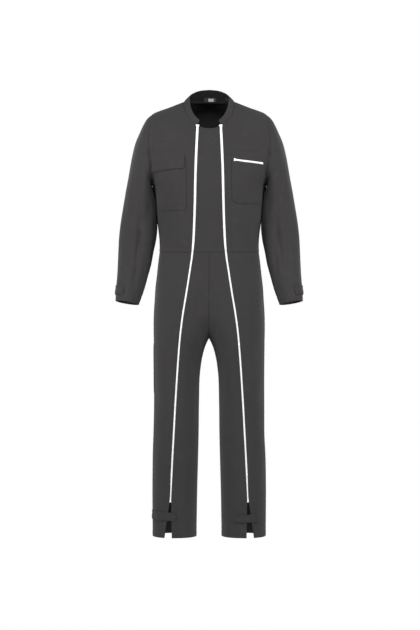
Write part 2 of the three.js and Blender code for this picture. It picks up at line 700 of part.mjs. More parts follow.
// Rule pocket on the outside of the right thigh, across the side seam.
const rulerPocket = { topZ: -834, bottomZ: -1010, frontTurn: 80, backTurn: 128, thick: 2.2 };
const rulerPocketGrid = evenly(rulerPocket.topZ, rulerPocket.bottomZ, 6).map((z) => (
  evenly(rulerPocket.frontTurn, rulerPocket.backTurn, 7).map((turn) => vertexOn(legForm, turn, z))));
addPiece('ruler_pocket_right', clothWall(mirrored(rulerPocketGrid), {
  thick: rulerPocket.thick,
  lift: patchGap + rulerPocket.thick,
}), cloth);

// Straps across the hem slits, and tabs round the outside of the cuffs.
const tabWall = { thick: tabThick, lift: patchGap + tabThick };
const rightStrap = { topZ: -1415, bottomZ: -1443, inner: 115, outerTurn: 104 };
const leftStrap = { topZ: -1422, bottomZ: -1449, inner: 85, outer: 171 };
const strapOnLeg = ({ topZ, bottomZ, inner }, columns, endTurn) => evenly(topZ, bottomZ, 2).map((z) => (
  evenly(legFrontTurn(inner, z), endTurn(z), columns).map((turn) => vertexOn(legForm, turn, z))));
const rightStrapGrid = mirrored(strapOnLeg(rightStrap, 13, () => rightStrap.outerTurn));
const leftStrapGrid = strapOnLeg(leftStrap, 9, (z) => legFrontTurn(leftStrap.outer, z));
addPiece('hem_tab_right', clothWall(rightStrapGrid, tabWall), cloth);
addPiece('hem_tab_left', clothWall(leftStrapGrid, tabWall), cloth);
const cuffTab = { from: 612, to: 642, backTurn: -50, frontTurn: 66 };
const cuffTabGrid = evenly(cuffTab.from, cuffTab.to, 2).map((along) => (
  evenly(cuffTab.backTurn, cuffTab.frontTurn, 11).map((turn) => vertexOn(sleeveForm, turn, along))));
addPair('cuff_tab', cuffTabGrid, tabWall, cloth);

// Bare labels inside the collar: from turn to turn, and from share to share of the collar's height.
const neckLabel = { turns: [164, 196], shares: [0.06, 0.44], columns: 6 };
const sizeTab = { turns: [127, 134], shares: [0.2, 0.55], columns: 2 };
const labelRoom = 0.7;
const labelWall = { thick: labelThick, lift: -(collarThick + labelRoom) };
const insideCollar = ({ turns, shares, columns }) => shares.map((share) => (
  evenly(...turns, columns).map((turn) => ({
    point: wholeCollarForm.point(turn, share),
    normal: outward(collarForm, backTurned(turn), share),
  }))));
addPiece('neck_label', clothWall(insideCollar(neckLabel), labelWall), labelCloth);
addPiece('size_tab', clothWall(insideCollar(sizeTab), labelWall), labelCloth);

// Zip sliders and pull tabs, in axes of their own: across the zip, up it, and out of the cloth.
const slider = {
  length: 10.5,
  topHalf: 6,
  bottomHalf: 4.3,
  corner: 1.2,
  thick: 2.2,
  bridgeHalf: 1.1,
  hole: 1.15,
  eye: 2.1,
  sunk: 0.3,
};
const pull = { half: 2.7, length: 21, thick: 1.2, bar: 1.3, windowHalf: 1.45, windowLong: 3.6, lean: 9 };
const hingeHeight = slider.thick + 1.7;
const pocketSliderSize = 0.8;

function asSolid(geometry) {
  const bare = geometry.clone();
  bare.deleteAttribute('normal');
  bare.deleteAttribute('uv');
  const merged = mergeVertices(bare, 1e-4);
  return new wasm.Manifold(new wasm.Mesh({
    numProp: 3,
    vertProperties: new Float32Array(merged.attributes.position.array),
    triVerts: new Uint32Array(merged.index.array),
  }));
}

function joined(first, second) {
  const mesh = asSolid(first).add(asSolid(second)).getMesh();
  const geometry = new THREE.BufferGeometry();
  geometry.setAttribute('position', new THREE.BufferAttribute(new Float32Array(mesh.vertProperties), 3));
  geometry.setIndex([...mesh.triVerts]);
  geometry.computeVertexNormals();
  return geometry;
}

function sliderGeometry(size) {
  const { length, topHalf, bottomHalf, corner, thick, bridgeHalf, hole, eye, sunk } = slider;
  const outline = new THREE.Shape([
    [-bottomHalf, -length / 2], [bottomHalf, -length / 2], [bottomHalf + corner / 2, corner - length / 2],
    [topHalf, length / 2 - corner], [topHalf - corner, length / 2], [corner - topHalf, length / 2],
    [-topHalf, length / 2 - corner], [-bottomHalf - corner / 2, corner - length / 2],
  ].map(([x, y]) => new THREE.Vector2(x, y)));
  const body = new THREE.ExtrudeGeometry(outline, { depth: thick, bevelEnabled: false });
  const arch = new THREE.Shape();
  arch.moveTo(-eye, -sunk);
  arch.lineTo(eye, -sunk);
  arch.lineTo(eye, hingeHeight - thick);
  arch.absarc(0, hingeHeight - thick, eye, 0, Math.PI, false);
  arch.lineTo(-eye, -sunk);
  arch.holes.push(new THREE.Path().absarc(0, hingeHeight - thick, hole, 0, 2 * Math.PI, true));
  const bridgeShape = { depth: 2 * bridgeHalf, bevelEnabled: false, curveSegments: 8 };
  const bridge = new THREE.ExtrudeGeometry(arch, bridgeShape);
  bridge.translate(0, 0, -bridgeHalf);
  bridge.applyMatrix4(new THREE.Matrix4().makeBasis(
    new THREE.Vector3(0, 1, 0), new THREE.Vector3(0, 0, 1), new THREE.Vector3(1, 0, 0)));
  bridge.translate(0, 0, thick);
  return joined(body, bridge).scale(size, size, size);
}

function pullGeometry(size) {
  const { half, length, thick, bar, windowHalf, windowLong } = pull;
  const outline = new THREE.Shape();
  outline.moveTo(-half, bar / 2);
  outline.lineTo(-half, -length + half);
  outline.absarc(0, -length + half, half, Math.PI, 2 * Math.PI, false);
  outline.lineTo(half, bar / 2);
  outline.holes.push(new THREE.Path([
    [-windowHalf, -bar / 2], [windowHalf, -bar / 2],
    [windowHalf, -bar / 2 - windowLong], [-windowHalf, -bar / 2 - windowLong],
  ].map(([x, y]) => new THREE.Vector2(x, y))));
  const plateShape = { depth: thick, bevelEnabled: false, curveSegments: 6 };
  const plate = new THREE.ExtrudeGeometry(outline, plateShape);
  return plate.translate(0, 0, -thick / 2).scale(size, size, size);
}

// A zip's slider and pull: placed on the cloth by a point, the way up the zip and the way out.
function addSlider(sliderName, pullName, place, size = 1) {
  const { point, normal, up, lift } = place;
  const out = normal.clone().normalize();
  const across = up.clone().cross(out).normalize();
  const along = out.clone().cross(across);
  const frame = new THREE.Matrix4().makeBasis(across, along, out)
    .setPosition(point.clone().addScaledVector(out, lift + seamGap));
  const lean = new THREE.Matrix4().makeTranslation(0, 0, hingeHeight * size)
    .multiply(new THREE.Matrix4().makeRotationX(pull.lean * degree));
  addPiece(sliderName, sliderGeometry(size), zipWhite).applyMatrix4(frame);
  addPiece(pullName, pullGeometry(size), zipWhite).applyMatrix4(frame.clone().multiply(lean));
}

// Down from the neckline to the middle of a main zip's slider.
const sliderDown = 8.5;

function zipTop(side) {
  const onZip = (at) => [torsoFrontTurn(zipLine('middle', torso('frontZ', at)), at), at];
  const [upper, lower] = [0, 2 * sliderDown].map((at) => torsoForm.point(...onZip(at)));
  const { point, normal } = vertexOn(torsoForm, ...onZip(sliderDown));
  const turned = (vector) => new THREE.Vector3(side * vector.x, vector.y, vector.z);
  return { point: turned(point), normal: turned(normal), up: turned(upper.sub(lower)), lift: zipProud };
}
addSlider('zip_slider_left', 'zip_pull_left', zipTop(1));
addSlider('zip_slider_right', 'zip_pull_right', zipTop(-1));

function pocketZipInnerEnd() {
  const at = pocketZip.start + 4;
  const next = at + 10;
  const { point, normal } = vertexOn(torsoForm, ...torsoPlace(at, pocketZipZ(at)));
  const up = point.clone().sub(torsoForm.point(...torsoPlace(next, pocketZipZ(next))));
  return { point, normal, up, lift: patchGap + pocketThick + zipProud };
}
addSlider('pocket_zip_slider', 'pocket_zip_pull', pocketZipInnerEnd(), pocketSliderSize);

export default suit;
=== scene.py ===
import math

import bpy
import numpy as np
from mathutils import Matrix, Vector
from mathutils.geometry import tessellate_polygon


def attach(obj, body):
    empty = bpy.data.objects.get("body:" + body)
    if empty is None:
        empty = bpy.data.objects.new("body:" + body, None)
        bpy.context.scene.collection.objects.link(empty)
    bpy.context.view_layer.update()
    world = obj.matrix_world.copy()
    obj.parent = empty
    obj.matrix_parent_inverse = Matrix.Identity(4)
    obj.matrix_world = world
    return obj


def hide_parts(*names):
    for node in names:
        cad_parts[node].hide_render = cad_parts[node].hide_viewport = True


# Boiler suit, dressed over its CAD frame. Tables and sizes are in millimetres and degrees, and
# meshes are made in metres. +Z is up, the front faces -Y, and +X is the wearer's left.

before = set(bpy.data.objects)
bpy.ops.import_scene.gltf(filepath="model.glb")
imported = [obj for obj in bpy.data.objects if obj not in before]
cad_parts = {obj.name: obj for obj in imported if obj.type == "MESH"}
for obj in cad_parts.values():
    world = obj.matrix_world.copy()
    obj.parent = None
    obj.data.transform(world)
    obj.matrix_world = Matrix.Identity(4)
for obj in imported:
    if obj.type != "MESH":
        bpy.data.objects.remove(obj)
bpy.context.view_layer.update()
metre = 0.001

shoulderTipDown = 117
underarmDown = 362
waistDown = 590
waistZ = -518
crotchZ = -817
zipEndZ = -1379
hemZ = -1504
cuffAlong = 664
armholeBlend = 330


def readTable(columns, rows):
    # smooth curve through the rows: cubic between two rows, its slope at a row from both neighbours
    rows = np.array(sorted(rows), float)
    places = rows[:, 0]
    steps = np.diff(places)[:, None]
    rates = np.diff(rows, axis=0) / steps
    inside = (rates[:-1] * steps[1:] + rates[1:] * steps[:-1]) / (steps[:-1] + steps[1:])
    slopes = np.vstack([rates[:1], inside, rates[-1:]])

    def value(name, at):
        column = columns.index(name)
        at = np.asarray(at, float)
        i = np.clip(np.searchsorted(places, at, side="right") - 1, 0, len(places) - 2)
        span = places[i + 1] - places[i]
        t = np.clip((at - places[i]) / span, 0, 1)
        start, end = rows[i, column], rows[i + 1, column]
        slopeIn, slopeOut = slopes[i, column] * span, slopes[i + 1, column] * span
        return ((2 * t**3 - 3 * t**2 + 1) * start + (t**3 - 2 * t**2 + t) * slopeIn
                + (3 * t**2 - 2 * t**3) * end + (t**3 - t**2) * slopeOut)
    return value


def mix(a, b, share):
    return a + (b - a) * share


def smoothStep(low, high, at):
    t = np.clip((at - low) / (high - low), 0, 1)
    return t * t * (3 - 2 * t)


def unit(vectors):
    return vectors / np.maximum(np.linalg.norm(vectors, axis=-1, keepdims=True), 1e-12)


def stacked(x, y, z):
    return np.stack(np.broadcast_arrays(x, y, z), axis=-1).astype(float)


def unitOval(angle, square):
    # polar rounded oval: reach = (|sin|^n + |cos|^n)^(-1/n), zero angle at the front
    side, front = np.sin(angle), np.cos(angle)
    reach = (np.abs(side) ** square + np.abs(front) ** square) ** (-1 / square)
    return reach * side, reach * front


def ovalRest(share, square):
    return (1 - np.minimum(np.abs(share), 1) ** square) ** (1 / square)


def creaseRise(creases, turn, along):
    # sum of bells: height * exp(-(across / halfTurn)^2 - (down / halfLong)^2), each slanted by its slant
    rise = np.zeros(np.broadcast(turn, along).shape)
    for atTurn, atAlong, halfTurn, halfLong, slant, height in creases:
        down = along - atAlong
        across = (turn - atTurn - slant * down) / halfTurn
        rise = rise + height * np.exp(-across**2 - (down / halfLong) ** 2)
    return rise


# Body: sections down the side, from the neckline over the shoulder and down to the waist seam.
torso = readTable(
    ["down", "sideZ", "frontZ", "backZ", "frontHalf", "backHalf", "frontDeep", "backDeep",
     "dip", "square"],
    [
        (0, -2, -94, 2, 88, 88, 72, 70, 1, 2),
        (33, -14, -100, -5, 119, 119, 77.5, 79, 1.3, 2.05),
        (61, -24, -107, -14, 145, 145, 83, 87, 1.6, 2.1),
        (92, -34, -116, -27, 174, 174, 89, 95, 1.9, 2.2),
        (117, -45, -126, -40, 197, 197, 94.5, 101.5, 2, 2.26),
        (147, -75, -143, -62, 222, 224, 102, 109, 2, 2.3),
        (180, -108, -165, -90, 243, 247, 109.5, 114.5, 2, 2.3),
        (240, -168, -208, -146, 256, 263, 119, 120, 2, 2.3),
        (280, -208, -239, -190, 240, 246, 124, 121, 2, 2.3),
        (315, -243, -264, -230, 219, 222, 127, 120, 2, 2.3),
        (340, -268, -282, -260, 204.5, 205.5, 128.5, 118, 2, 2.3),
        (362, -290, -299, -285, 194, 194, 129, 117, 2, 2.3),
        (390, -318, -323, -315, 188.5, 188.5, 128, 114, 2, 2.3),
        (415, -343, -346, -341, 187, 187, 126, 111.5, 2, 2.3),
        (440, -368, -370, -367, 185, 185, 124, 109, 2, 2.3),
        (475, -403, -404, -403, 181, 181, 121, 106, 2, 2.3),
        (510, -438, -438, -438, 175.5, 175.5, 118, 104, 2, 2.3),
        (550, -478, -478, -478, 171.2, 171.2, 115.5, 102.5, 2, 2.3),
        (590, -518, -518, -518, 170.2, 170.2, 114, 103, 2, 2.3),
    ],
)
armhole = readTable(["down", "side"], [
    (117, 197), (147, 204), (180, 208.5), (240, 206), (280, 198.5), (315, 195), (362, 194),
])

# One leg of the wearer's left side, with its half of the seat.
leg = readTable(
    ["z", "outer", "inner", "frontDeep", "backDeep", "middleY", "square"],
    [
        (-518, 170.2, -170.2, 114, 103, 0, 2.3),
        (-560, 175.8, -167, 115, 109, 0, 2.3),
        (-600, 180.2, -153, 117, 117, 0, 2.3),
        (-640, 185, -138, 119, 126, 0, 2.3),
        (-680, 187.5, -114, 120, 132, 0, 2.3),
        (-740, 191.2, -67, 119, 136, 0, 2.3),
        (-780, 191.7, -29, 116, 134, 0, 2.3),
        (-800, 191.6, -12, 114, 131, 0, 2.3),
        (-811, 191.4, -4, 113, 130, 0, 2.3),
        (-817, 191.2, 0, 112, 129, 0, 2.3),
        (-824, 191, 4, 111, 128, 0, 2.28),
        (-844, 190.9, 13, 109, 124, 0, 2.25),
        (-879, 190.5, 23, 106, 118, 0, 2.2),
        (-927, 190.2, 30.5, 102, 111, 0, 2.2),
        (-1037, 190.2, 35, 97, 100, -2, 2.15),
        (-1140, 192.2, 36.2, 93, 94, -3, 2.15),
        (-1240, 195.7, 38.5, 89, 89, -1, 2.15),
        (-1340, 196.3, 41.2, 85, 85, 2, 2.15),
        (-1504, 195.5, 44, 80, 80, 5, 2.15),
    ],
)

# Sleeve of the wearer's left side: rings between an outer and an inner line, armhole to cuff.
sleeve = readTable(
    ["along", "outerX", "outerZ", "innerX", "innerZ", "middleY", "frontDeep", "backDeep", "pitch"],
    [
        (0, 197, -45, 194, -290, 0, 80, 86, 0),
        (19, 212, -57, 196.2, -288.8, 0, 82, 86, 0),
        (53, 230, -86, 198, -289.2, 0, 83, 86, 0),
        (77, 240, -108, 198.6, -291, 0, 83, 85, 0),
        (113, 254, -141, 197.6, -295, 0, 82, 84, 0),
        (156, 265, -183, 195, -301.5, 0, 80, 83, 0),
        (199, 273, -225, 192.3, -310, 0, 78, 81, 0),
        (241, 280, -266, 190, -323, 0, 76, 79, 0),
        (283, 288, -308, 188.4, -343, 0, 74, 76, 0),
        (325, 295, -349, 186.3, -369, 0, 70, 72, 0),
        (367, 302, -391, 183, -400, -1, 65, 66, 1),
        (409, 308, -432, 180.3, -436, -3, 61, 61, 2),
        (450, 312, -473, 184, -475, -6, 58, 58, 4),
        (492, 314, -515, 193, -518, -11, 55, 55, 6),
        (534, 315.6, -557, 201, -561, -17, 52, 52, 7),
        (575, 317.6, -598, 212.5, -603, -23, 49, 49, 8),
        (617, 321, -640, 225, -648, -29, 46, 46, 8),
        (664, 323, -687, 244, -700, -36, 44, 44, 8),
    ],
)

# Stand collar: it leans in by inward and rises by rise, at each turn from the front.
collarLean = readTable(["turn", "inward", "rise"], [
    (20, 13, 20), (60, 18, 19), (90, 20, 20), (125, 17, 30), (155, 12, 39), (180, 10, 42),
])

# Main zips, and the slit below each: middle line and half width, as distances from the centre.
zipLine = readTable(["z", "middle", "half"], [
    (-80, 39.3, 4.7), (-150, 42.8, 4.7), (-220, 45.8, 4.6), (-350, 48.8, 4.5), (-430, 51.4, 4.4),
    (-490, 54.6, 4.2), (-525, 57.9, 3.7), (-590, 67.3, 3.5), (-660, 78.3, 3.5), (-730, 89.9, 3.5),
    (-800, 99, 3.5), (-870, 105, 3.5), (-1000, 113.8, 3.5), (-1140, 121.6, 3.5), (-1280, 129, 3.5),
    (-1379, 133.5, 3.6), (-1420, 136.5, 7.5), (-1504, 142, 14),
])

# Creases: turn, along, half turn, half length, slant, height. Troughs are below zero.
torsoCreases = [
    (42, 205, 5, 42, 0.02, -4.5), (63, 330, 6, 55, -0.05, -3), (70, 520, 8, 40, 0.1, -2.5),
    (138, 235, 6, 60, -0.03, -4), (118, 400, 8, 60, 0.08, -3), (150, 540, 12, 26, 0.2, -2.5),
]
legCreases = [
    (-32, -775, 9, 34, 0.2, -3.5), (-8, -700, 9, 50, 0.22, -2.5), (-48, -900, 12, 60, 0.1, -3),
    (62, -1010, 14, 50, 0.16, -3), (-30, -1180, 16, 45, -0.2, -3), (70, -1290, 16, 55, 0.14, -2.5),
    (205, -850, 16, 26, -0.5, -4.5), (165, -1070, 22, 22, 0.6, -3.5), (200, -1110, 20, 20, -0.5, -3.5),
    (180, -1300, 22, 45, 0.2, -3),
]
sleeveCreases = [
    (112, 385, 20, 16, 0.5, -4), (96, 440, 18, 15, 0.6, -3.5), (60, 250, 12, 70, 0.04, -3),
    (75, 530, 13, 60, 0.06, -3), (250, 400, 20, 18, -0.5, -3.5), (290, 260, 14, 70, -0.05, -3),
    (285, 540, 14, 60, 0.05, -2.5), (150, 310, 15, 80, 0, 9), (212, 320, 16, 70, 0, 5),
]
# Smaller creases, different on each side. A turn below zero is on the wearer's right.
torsoSmall = [
    (-24, 430, 5, 70, 0.01, -1.2), (-38, 500, 6, 45, -0.06, -1.3), (27, 480, 5, 60, 0.03, -1.1),
    (50, 455, 6, 38, 0.08, -1.3), (-60, 455, 7, 34, 0.1, -1.6), (5, 300, 7, 90, 0, -0.8),
    (-7, 470, 5, 60, 0.01, -0.9), (23, 430, 4, 40, 0, -1), (-20, 190, 4, 70, 0, -1),
    (160, 330, 8, 90, 0.03, -2), (-150, 400, 8, 70, -0.05, -2.2), (-170, 520, 12, 22, 0.2, -1.8),
    (105, 480, 8, 40, -0.1, -2), (-112, 500, 9, 34, 0.12, -2), (-125, 190, 8, 50, 0.05, -2),
    (152, 150, 14, 24, 0.2, -1.4), (-140, 560, 10, 20, -0.3, -1.6),
    (90, 370, 12, 11, 0, 3.8), (-90, 370, 12, 11, 0, 3.8), (50, 232, 3.4, 26, 0.02, -5.5),
    (-50, 236, 3.4, 28, -0.02, -5.5), (44, 178, 3.5, 30, 0.02, -3.2), (-45, 182, 3.5, 32, -0.02, -3.4),
]
legSmall = {
    1: [(-20, -640, 6, 50, 0.06, -1.4), (40, -590, 7, 45, 0.05, -1.5), (75, -700, 8, 60, 0.03, -2),
        (-58, -1000, 10, 60, 0.03, -2), (20, -1120, 9, 70, 0.04, -1.3), (-15, -930, 8, 80, 0.02, -1.6),
        (95, -1150, 12, 70, 0.05, -2), (30, -1445, 8, 26, 0.3, -1.4), (-25, -1440, 9, 24, -0.3, -1.4),
        (150, -640, 12, 60, 0.1, -2), (240, -960, 14, 60, 0.1, -2), (130, -930, 12, 50, -0.1, -2.2),
        (200, -1220, 16, 40, 0.3, -2), (160, -760, 14, 30, 0.4, -2.4), (-38, -787, 8, 27, 0.25, -4.5)],
    -1: [(-16, -610, 6, 45, 0.08, -1.4), (34, -650, 8, 50, -0.04, -1.5), (80, -640, 8, 50, 0.06, -2),
         (-62, -1060, 10, 60, 0.05, -2), (14, -1040, 9, 70, -0.03, -1.4), (-28, -860, 8, 50, 0.1, -1.8),
         (60, -1190, 12, 60, -0.05, -2), (24, -1440, 9, 26, 0.3, -1.4), (62, -1425, 8, 22, 0.4, -1.8),
         (140, -700, 12, 50, -0.1, -2), (230, -1000, 14, 50, -0.1, -2), (150, -980, 12, 40, 0.2, -2.2),
         (185, -1180, 16, 40, -0.3, -2), (200, -740, 14, 30, -0.4, -2.4), (-38, -787, 8, 27, 0.25, -5)],
}
sleeveSmall = {
    1: [(97, 200, 12, 130, -0.01, -3), (100, 480, 12, 110, 0, -3.4), (40, 400, 10, 60, 0.05, -1.6),
        (130, 300, 12, 60, 0.1, -2.4), (80, 635, 9, 18, 0.3, -1.8), (130, 625, 10, 20, -0.3, -2),
        (20, 560, 9, 50, 0.05, -1.4), (160, 430, 16, 14, 0.3, -2.4), (330, 450, 14, 30, 0.2, -2),
        (240, 330, 16, 30, 0.3, -2.4), (310, 140, 12, 60, 0.05, -2), (180, 320, 16, 75, 0, 1.1),
        (101, 445, 8, 60, 0.005, -7), (120, 520, 8, 45, 0.08, -4.5), (84, 90, 5, 45, 0.02, -3.2),
        (70, 66, 4, 34, 0.02, -2.4), (180, 62, 14, 42, 0, 3.2), (88, 12, 9, 18, 0, -4)],
    -1: [(92, 190, 12, 140, 0, -3), (98, 470, 13, 120, 0.01, -3.4), (35, 350, 10, 60, 0.04, -1.6),
         (125, 340, 12, 50, -0.1, -2.4), (70, 640, 9, 18, -0.3, -1.8), (120, 632, 10, 20, 0.3, -2),
         (25, 520, 9, 60, -0.05, -1.4), (150, 400, 16, 14, -0.3, -2.4), (325, 400, 14, 30, -0.2, -2),
         (235, 360, 16, 30, -0.3, -2.4), (300, 150, 12, 60, -0.05, -2), (180, 320, 16, 75, 0, 1.1),
         (98, 455, 8, 65, 0.005, -7.5), (104, 570, 9, 45, 0.03, -5), (82, 95, 5, 50, 0.02, -3.2),
         (68, 70, 4, 36, 0.02, -2.4), (180, 62, 14, 42, 0, 3.2), (89, 12, 9, 20, 0, -4)],
}


def torsoSection(down, isBack):
    square = torso("square", down)
    half = np.where(isBack, torso("backHalf", down), torso("frontHalf", down))
    deep = np.where(isBack, torso("backDeep", down), torso("frontDeep", down))
    hasArmhole = (down > shoulderTipDown) & (down < underarmDown)
    edgeSide = np.where(hasArmhole, np.minimum(armhole("side", down) / half, 1), 1)
    edgeAngle = np.degrees(np.arctan2(edgeSide, ovalRest(edgeSide, square)))
    return half, deep, square, edgeAngle


class Form:
    # a surface worked out from a turn and a place along it, and the middle that it stands around
    def __init__(self, point, middle, steps=(0.5, 0.5)):
        self.point, self.middle, self.steps = point, middle, steps

    def normal(self, turn, along):
        # cross product of the steps around and along, turned away from the middle
        turnStep, alongStep = self.steps
        around = self.point(turn + turnStep, along) - self.point(turn - turnStep, along)
        onwards = self.point(turn, along + alongStep) - self.point(turn, along - alongStep)
        normal = unit(np.cross(around, onwards))
        away = self.point(turn, along) - self.middle(along)
        return normal * np.sign((normal * away).sum(-1, keepdims=True))


def torsoPoint(turn, down):
    # oval section at each place down the side; front and back hang lower than the side by the dip
    turn = (turn + 180) % 360 - 180
    isBack = np.abs(turn) > 90
    half, deep, square, _ = torsoSection(down, isBack)
    side, front = unitOval(np.radians(turn), square)
    sideZ = torso("sideZ", down)
    fall = np.where(isBack, torso("backZ", down), torso("frontZ", down)) - sideZ
    point = stacked(half * side, -deep * front, sideZ + fall * np.abs(front) ** torso("dip", down))
    rise = creaseRise(torsoCreases, np.abs(turn), down) + creaseRise(torsoSmall, turn, down)
    return point + unit(stacked(side, -front, 0)) * rise[..., None]


def legSection(z):
    outer, inner = leg("outer", z), leg("inner", z)
    return (outer + inner) / 2, (outer - inner) / 2, leg("square", z)


def legForm(side):
    # oval section at each height, between the outer and the inner line; mirrored for the right leg
    def point(turn, z):
        middleX, half, square = legSection(z)
        across, front = unitOval(np.radians(turn), square)
        deep = np.where(front < 0, leg("backDeep", z), leg("frontDeep", z))
        spot = stacked(middleX + half * across, leg("middleY", z) - deep * front, z)
        rise = creaseRise(legCreases, turn, z) + creaseRise(legSmall[side], turn, z)
        spot = spot + unit(stacked(across, -front, 0)) * rise[..., None]
        return spot * (side, 1, 1)
    return Form(point, lambda z: stacked(side * legSection(z)[0], leg("middleY", z), z))


def armholePlace(turn):
    # from the shoulder tip down the front to the underarm and up the back again
    isBack = turn > 180
    middle, half = (shoulderTipDown + underarmDown) / 2, (underarmDown - shoulderTipDown) / 2
    down = middle - half * np.cos(np.radians(turn))
    edgeAngle = torsoSection(down, isBack)[3]
    return np.where(isBack, 180 - edgeAngle, edgeAngle), down


def plainSleevePoint(turn, along):
    half = stacked(sleeve("outerX", along) - sleeve("innerX", along), 0,
                   sleeve("outerZ", along) - sleeve("innerZ", along)) / 2
    middle = stacked(sleeve("innerX", along), sleeve("middleY", along), sleeve("innerZ", along)) + half
    deep = np.where(turn > 180, sleeve("backDeep", along), sleeve("frontDeep", along))
    offset = -deep * np.sin(np.radians(turn))
    tilt = -offset * np.tan(np.radians(sleeve("pitch", along)))
    return middle + half * np.cos(np.radians(turn))[..., None] + stacked(0, offset, tilt)


def sleeveForm(side):
    # ring between the two lines, plus what is missing to the armhole's own line, faded out along
    def middle(along):
        return stacked(side * (sleeve("outerX", along) + sleeve("innerX", along)) / 2,
                       sleeve("middleY", along), (sleeve("outerZ", along) + sleeve("innerZ", along)) / 2)

    def point(turn, along):
        turn, along = np.broadcast_arrays(turn, along)
        around = turn % 360
        spot = plainSleevePoint(around, along)
        fade = np.maximum(1 - along / armholeBlend, 0) ** 2
        placeTurn, placeDown = armholePlace(around)
        line = torsoPoint(side * placeTurn, placeDown) * (side, 1, 1)
        spot = spot + (line - plainSleevePoint(around, along * 0)) * fade[..., None]
        rise = creaseRise(sleeveCreases, around, along) + creaseRise(sleeveSmall[side], around, along)
        away = unit(spot - middle(along) * (side, 1, 1))
        return (spot + away * rise[..., None]) * (side, 1, 1)
    return Form(point, middle)


def collarPoint(turn, share):
    # out of the neckline: inwards and up by the share of the collar's height, slightly bowed
    turn = (turn + 180) % 360 - 180
    base = torsoPoint(turn, share * 0)
    inwards = unit(base * (-1, -1, 0))
    bow = 0.12 * np.sin(np.pi * share)
    lean, rise = collarLean("inward", np.abs(turn)), collarLean("rise", np.abs(turn))
    return base + inwards * (lean * (share - bow))[..., None] + stacked(0, 0, rise * share)


torsoForm = Form(torsoPoint, lambda down: stacked(0, 0, torso("sideZ", down) - 100))
collarForm = Form(collarPoint, lambda share: stacked(0, 0, share * 0 - 60), steps=(0.5, 0.02))
legForms = {1: legForm(1), -1: legForm(-1)}
sleeveForms = {1: sleeveForm(1), -1: sleeveForm(-1)}


def torsoFrontTurn(distance, down):
    half, _, square, _ = torsoSection(down, False)
    return np.degrees(np.arctan2(distance / half, ovalRest(distance / half, square)))


def legFrontTurn(distance, z):
    middleX, half, square = legSection(z)
    side = (distance - middleX) / half
    return np.degrees(np.arctan2(side, ovalRest(side, square)))


def zipEdge(z, side):
    # the cloth laps a little over the tape on both sides
    overlap = 1.1
    return zipLine("middle", z) + side * (zipLine("half", z) - overlap)


def torsoPlace(distance, z):
    # the turn and the place down where the front reaches a distance from the centre and a height
    down = -z + 0 * distance
    for _ in range(16):
        turn = torsoFrontTurn(np.abs(distance), down) * np.sign(distance)
        down = down + torsoPoint(turn, down)[..., 2] - z
    return turn, down


print("forms ready")


# Seams: how far the cloth rises or dips at a distance from an edge.
seam = dict(raised=1.1, allowance=9, stitchAt=2.6, secondAt=8.5, groove=0.35, dip=0.8,
            hemAt=19, hemThicker=0.9)


def bell(distance, at, half):
    # 1 at one distance, falling off to both sides of it
    return np.exp(-(((distance - at) / half) ** 2))


def raisedEdge(distance, along=0):
    # the side that the allowance lies under: a low step, its rim rounded, with a stitched groove
    step = seam["raised"] * (1 - smoothStep(seam["allowance"] - 2, seam["allowance"] + 3, distance))
    rim = -(seam["raised"] + seam["dip"]) * bell(distance, 0, 0.6)
    return step + rim - seam["groove"] * bell(distance, seam["stitchAt"], 0.8)


def waistEdge(distance, along=0):
    # two rows of stitches above the waist seam
    return raisedEdge(distance) - 0.7 * bell(distance, seam["secondAt"], 1.1)


def plainEdge(distance, along=0):
    return -seam["dip"] * bell(distance, 0, 1.6)


def softEdge(distance, along=0):
    return -0.5 * bell(distance, 0, 0.7)


def sewnEdge(distance, along=0):
    # the edge of a patch, sewn flat all round
    return softEdge(distance) - 0.4 * bell(distance, 2, 0.8)


def hemEdge(distance, along=0):
    # a folded edge: rounded rim, and a groove where the fold is sewn down
    groove = 0.3 * bell(distance, seam["hemAt"], 1)
    return softEdge(distance) - groove + 0.35 * (1 - smoothStep(seam["hemAt"], seam["hemAt"] + 4, distance))


def foldedAt(length):
    # a hem or cuff is turned up inside, so the cloth is thicker below its fold
    def thicker(shares, distances):
        below = distances - (length - seam["hemAt"])
        return seam["hemThicker"] * smoothStep(-1.5, 0.5, below)
    return thicker


edgeSteps = np.array([0, 0.35, 0.8, 1.4, 2, 2.6, 3.3, 4.3, 5.8, 7.6, 9.6, 12])


def spaced(length, step, cluster=edgeSteps):
    # distances from one end to the other, close together near both ends
    cluster = cluster[cluster < length * 0.4]
    inner = length - 2 * cluster[-1]
    count = max(int(inner / step), 1)
    return np.concatenate([cluster[:-1], np.linspace(cluster[-1], length - cluster[-1], count + 1),
                           length - cluster[-2::-1]])


# Seams pucker: waves along each edge, whose length drifts slowly, and which fade over the reach.
ripple = dict(down=0.41, downDrift=1.7, downSlow=0.063, across=0.38, acrossDrift=1.4,
              acrossSlow=0.07, reach=9)


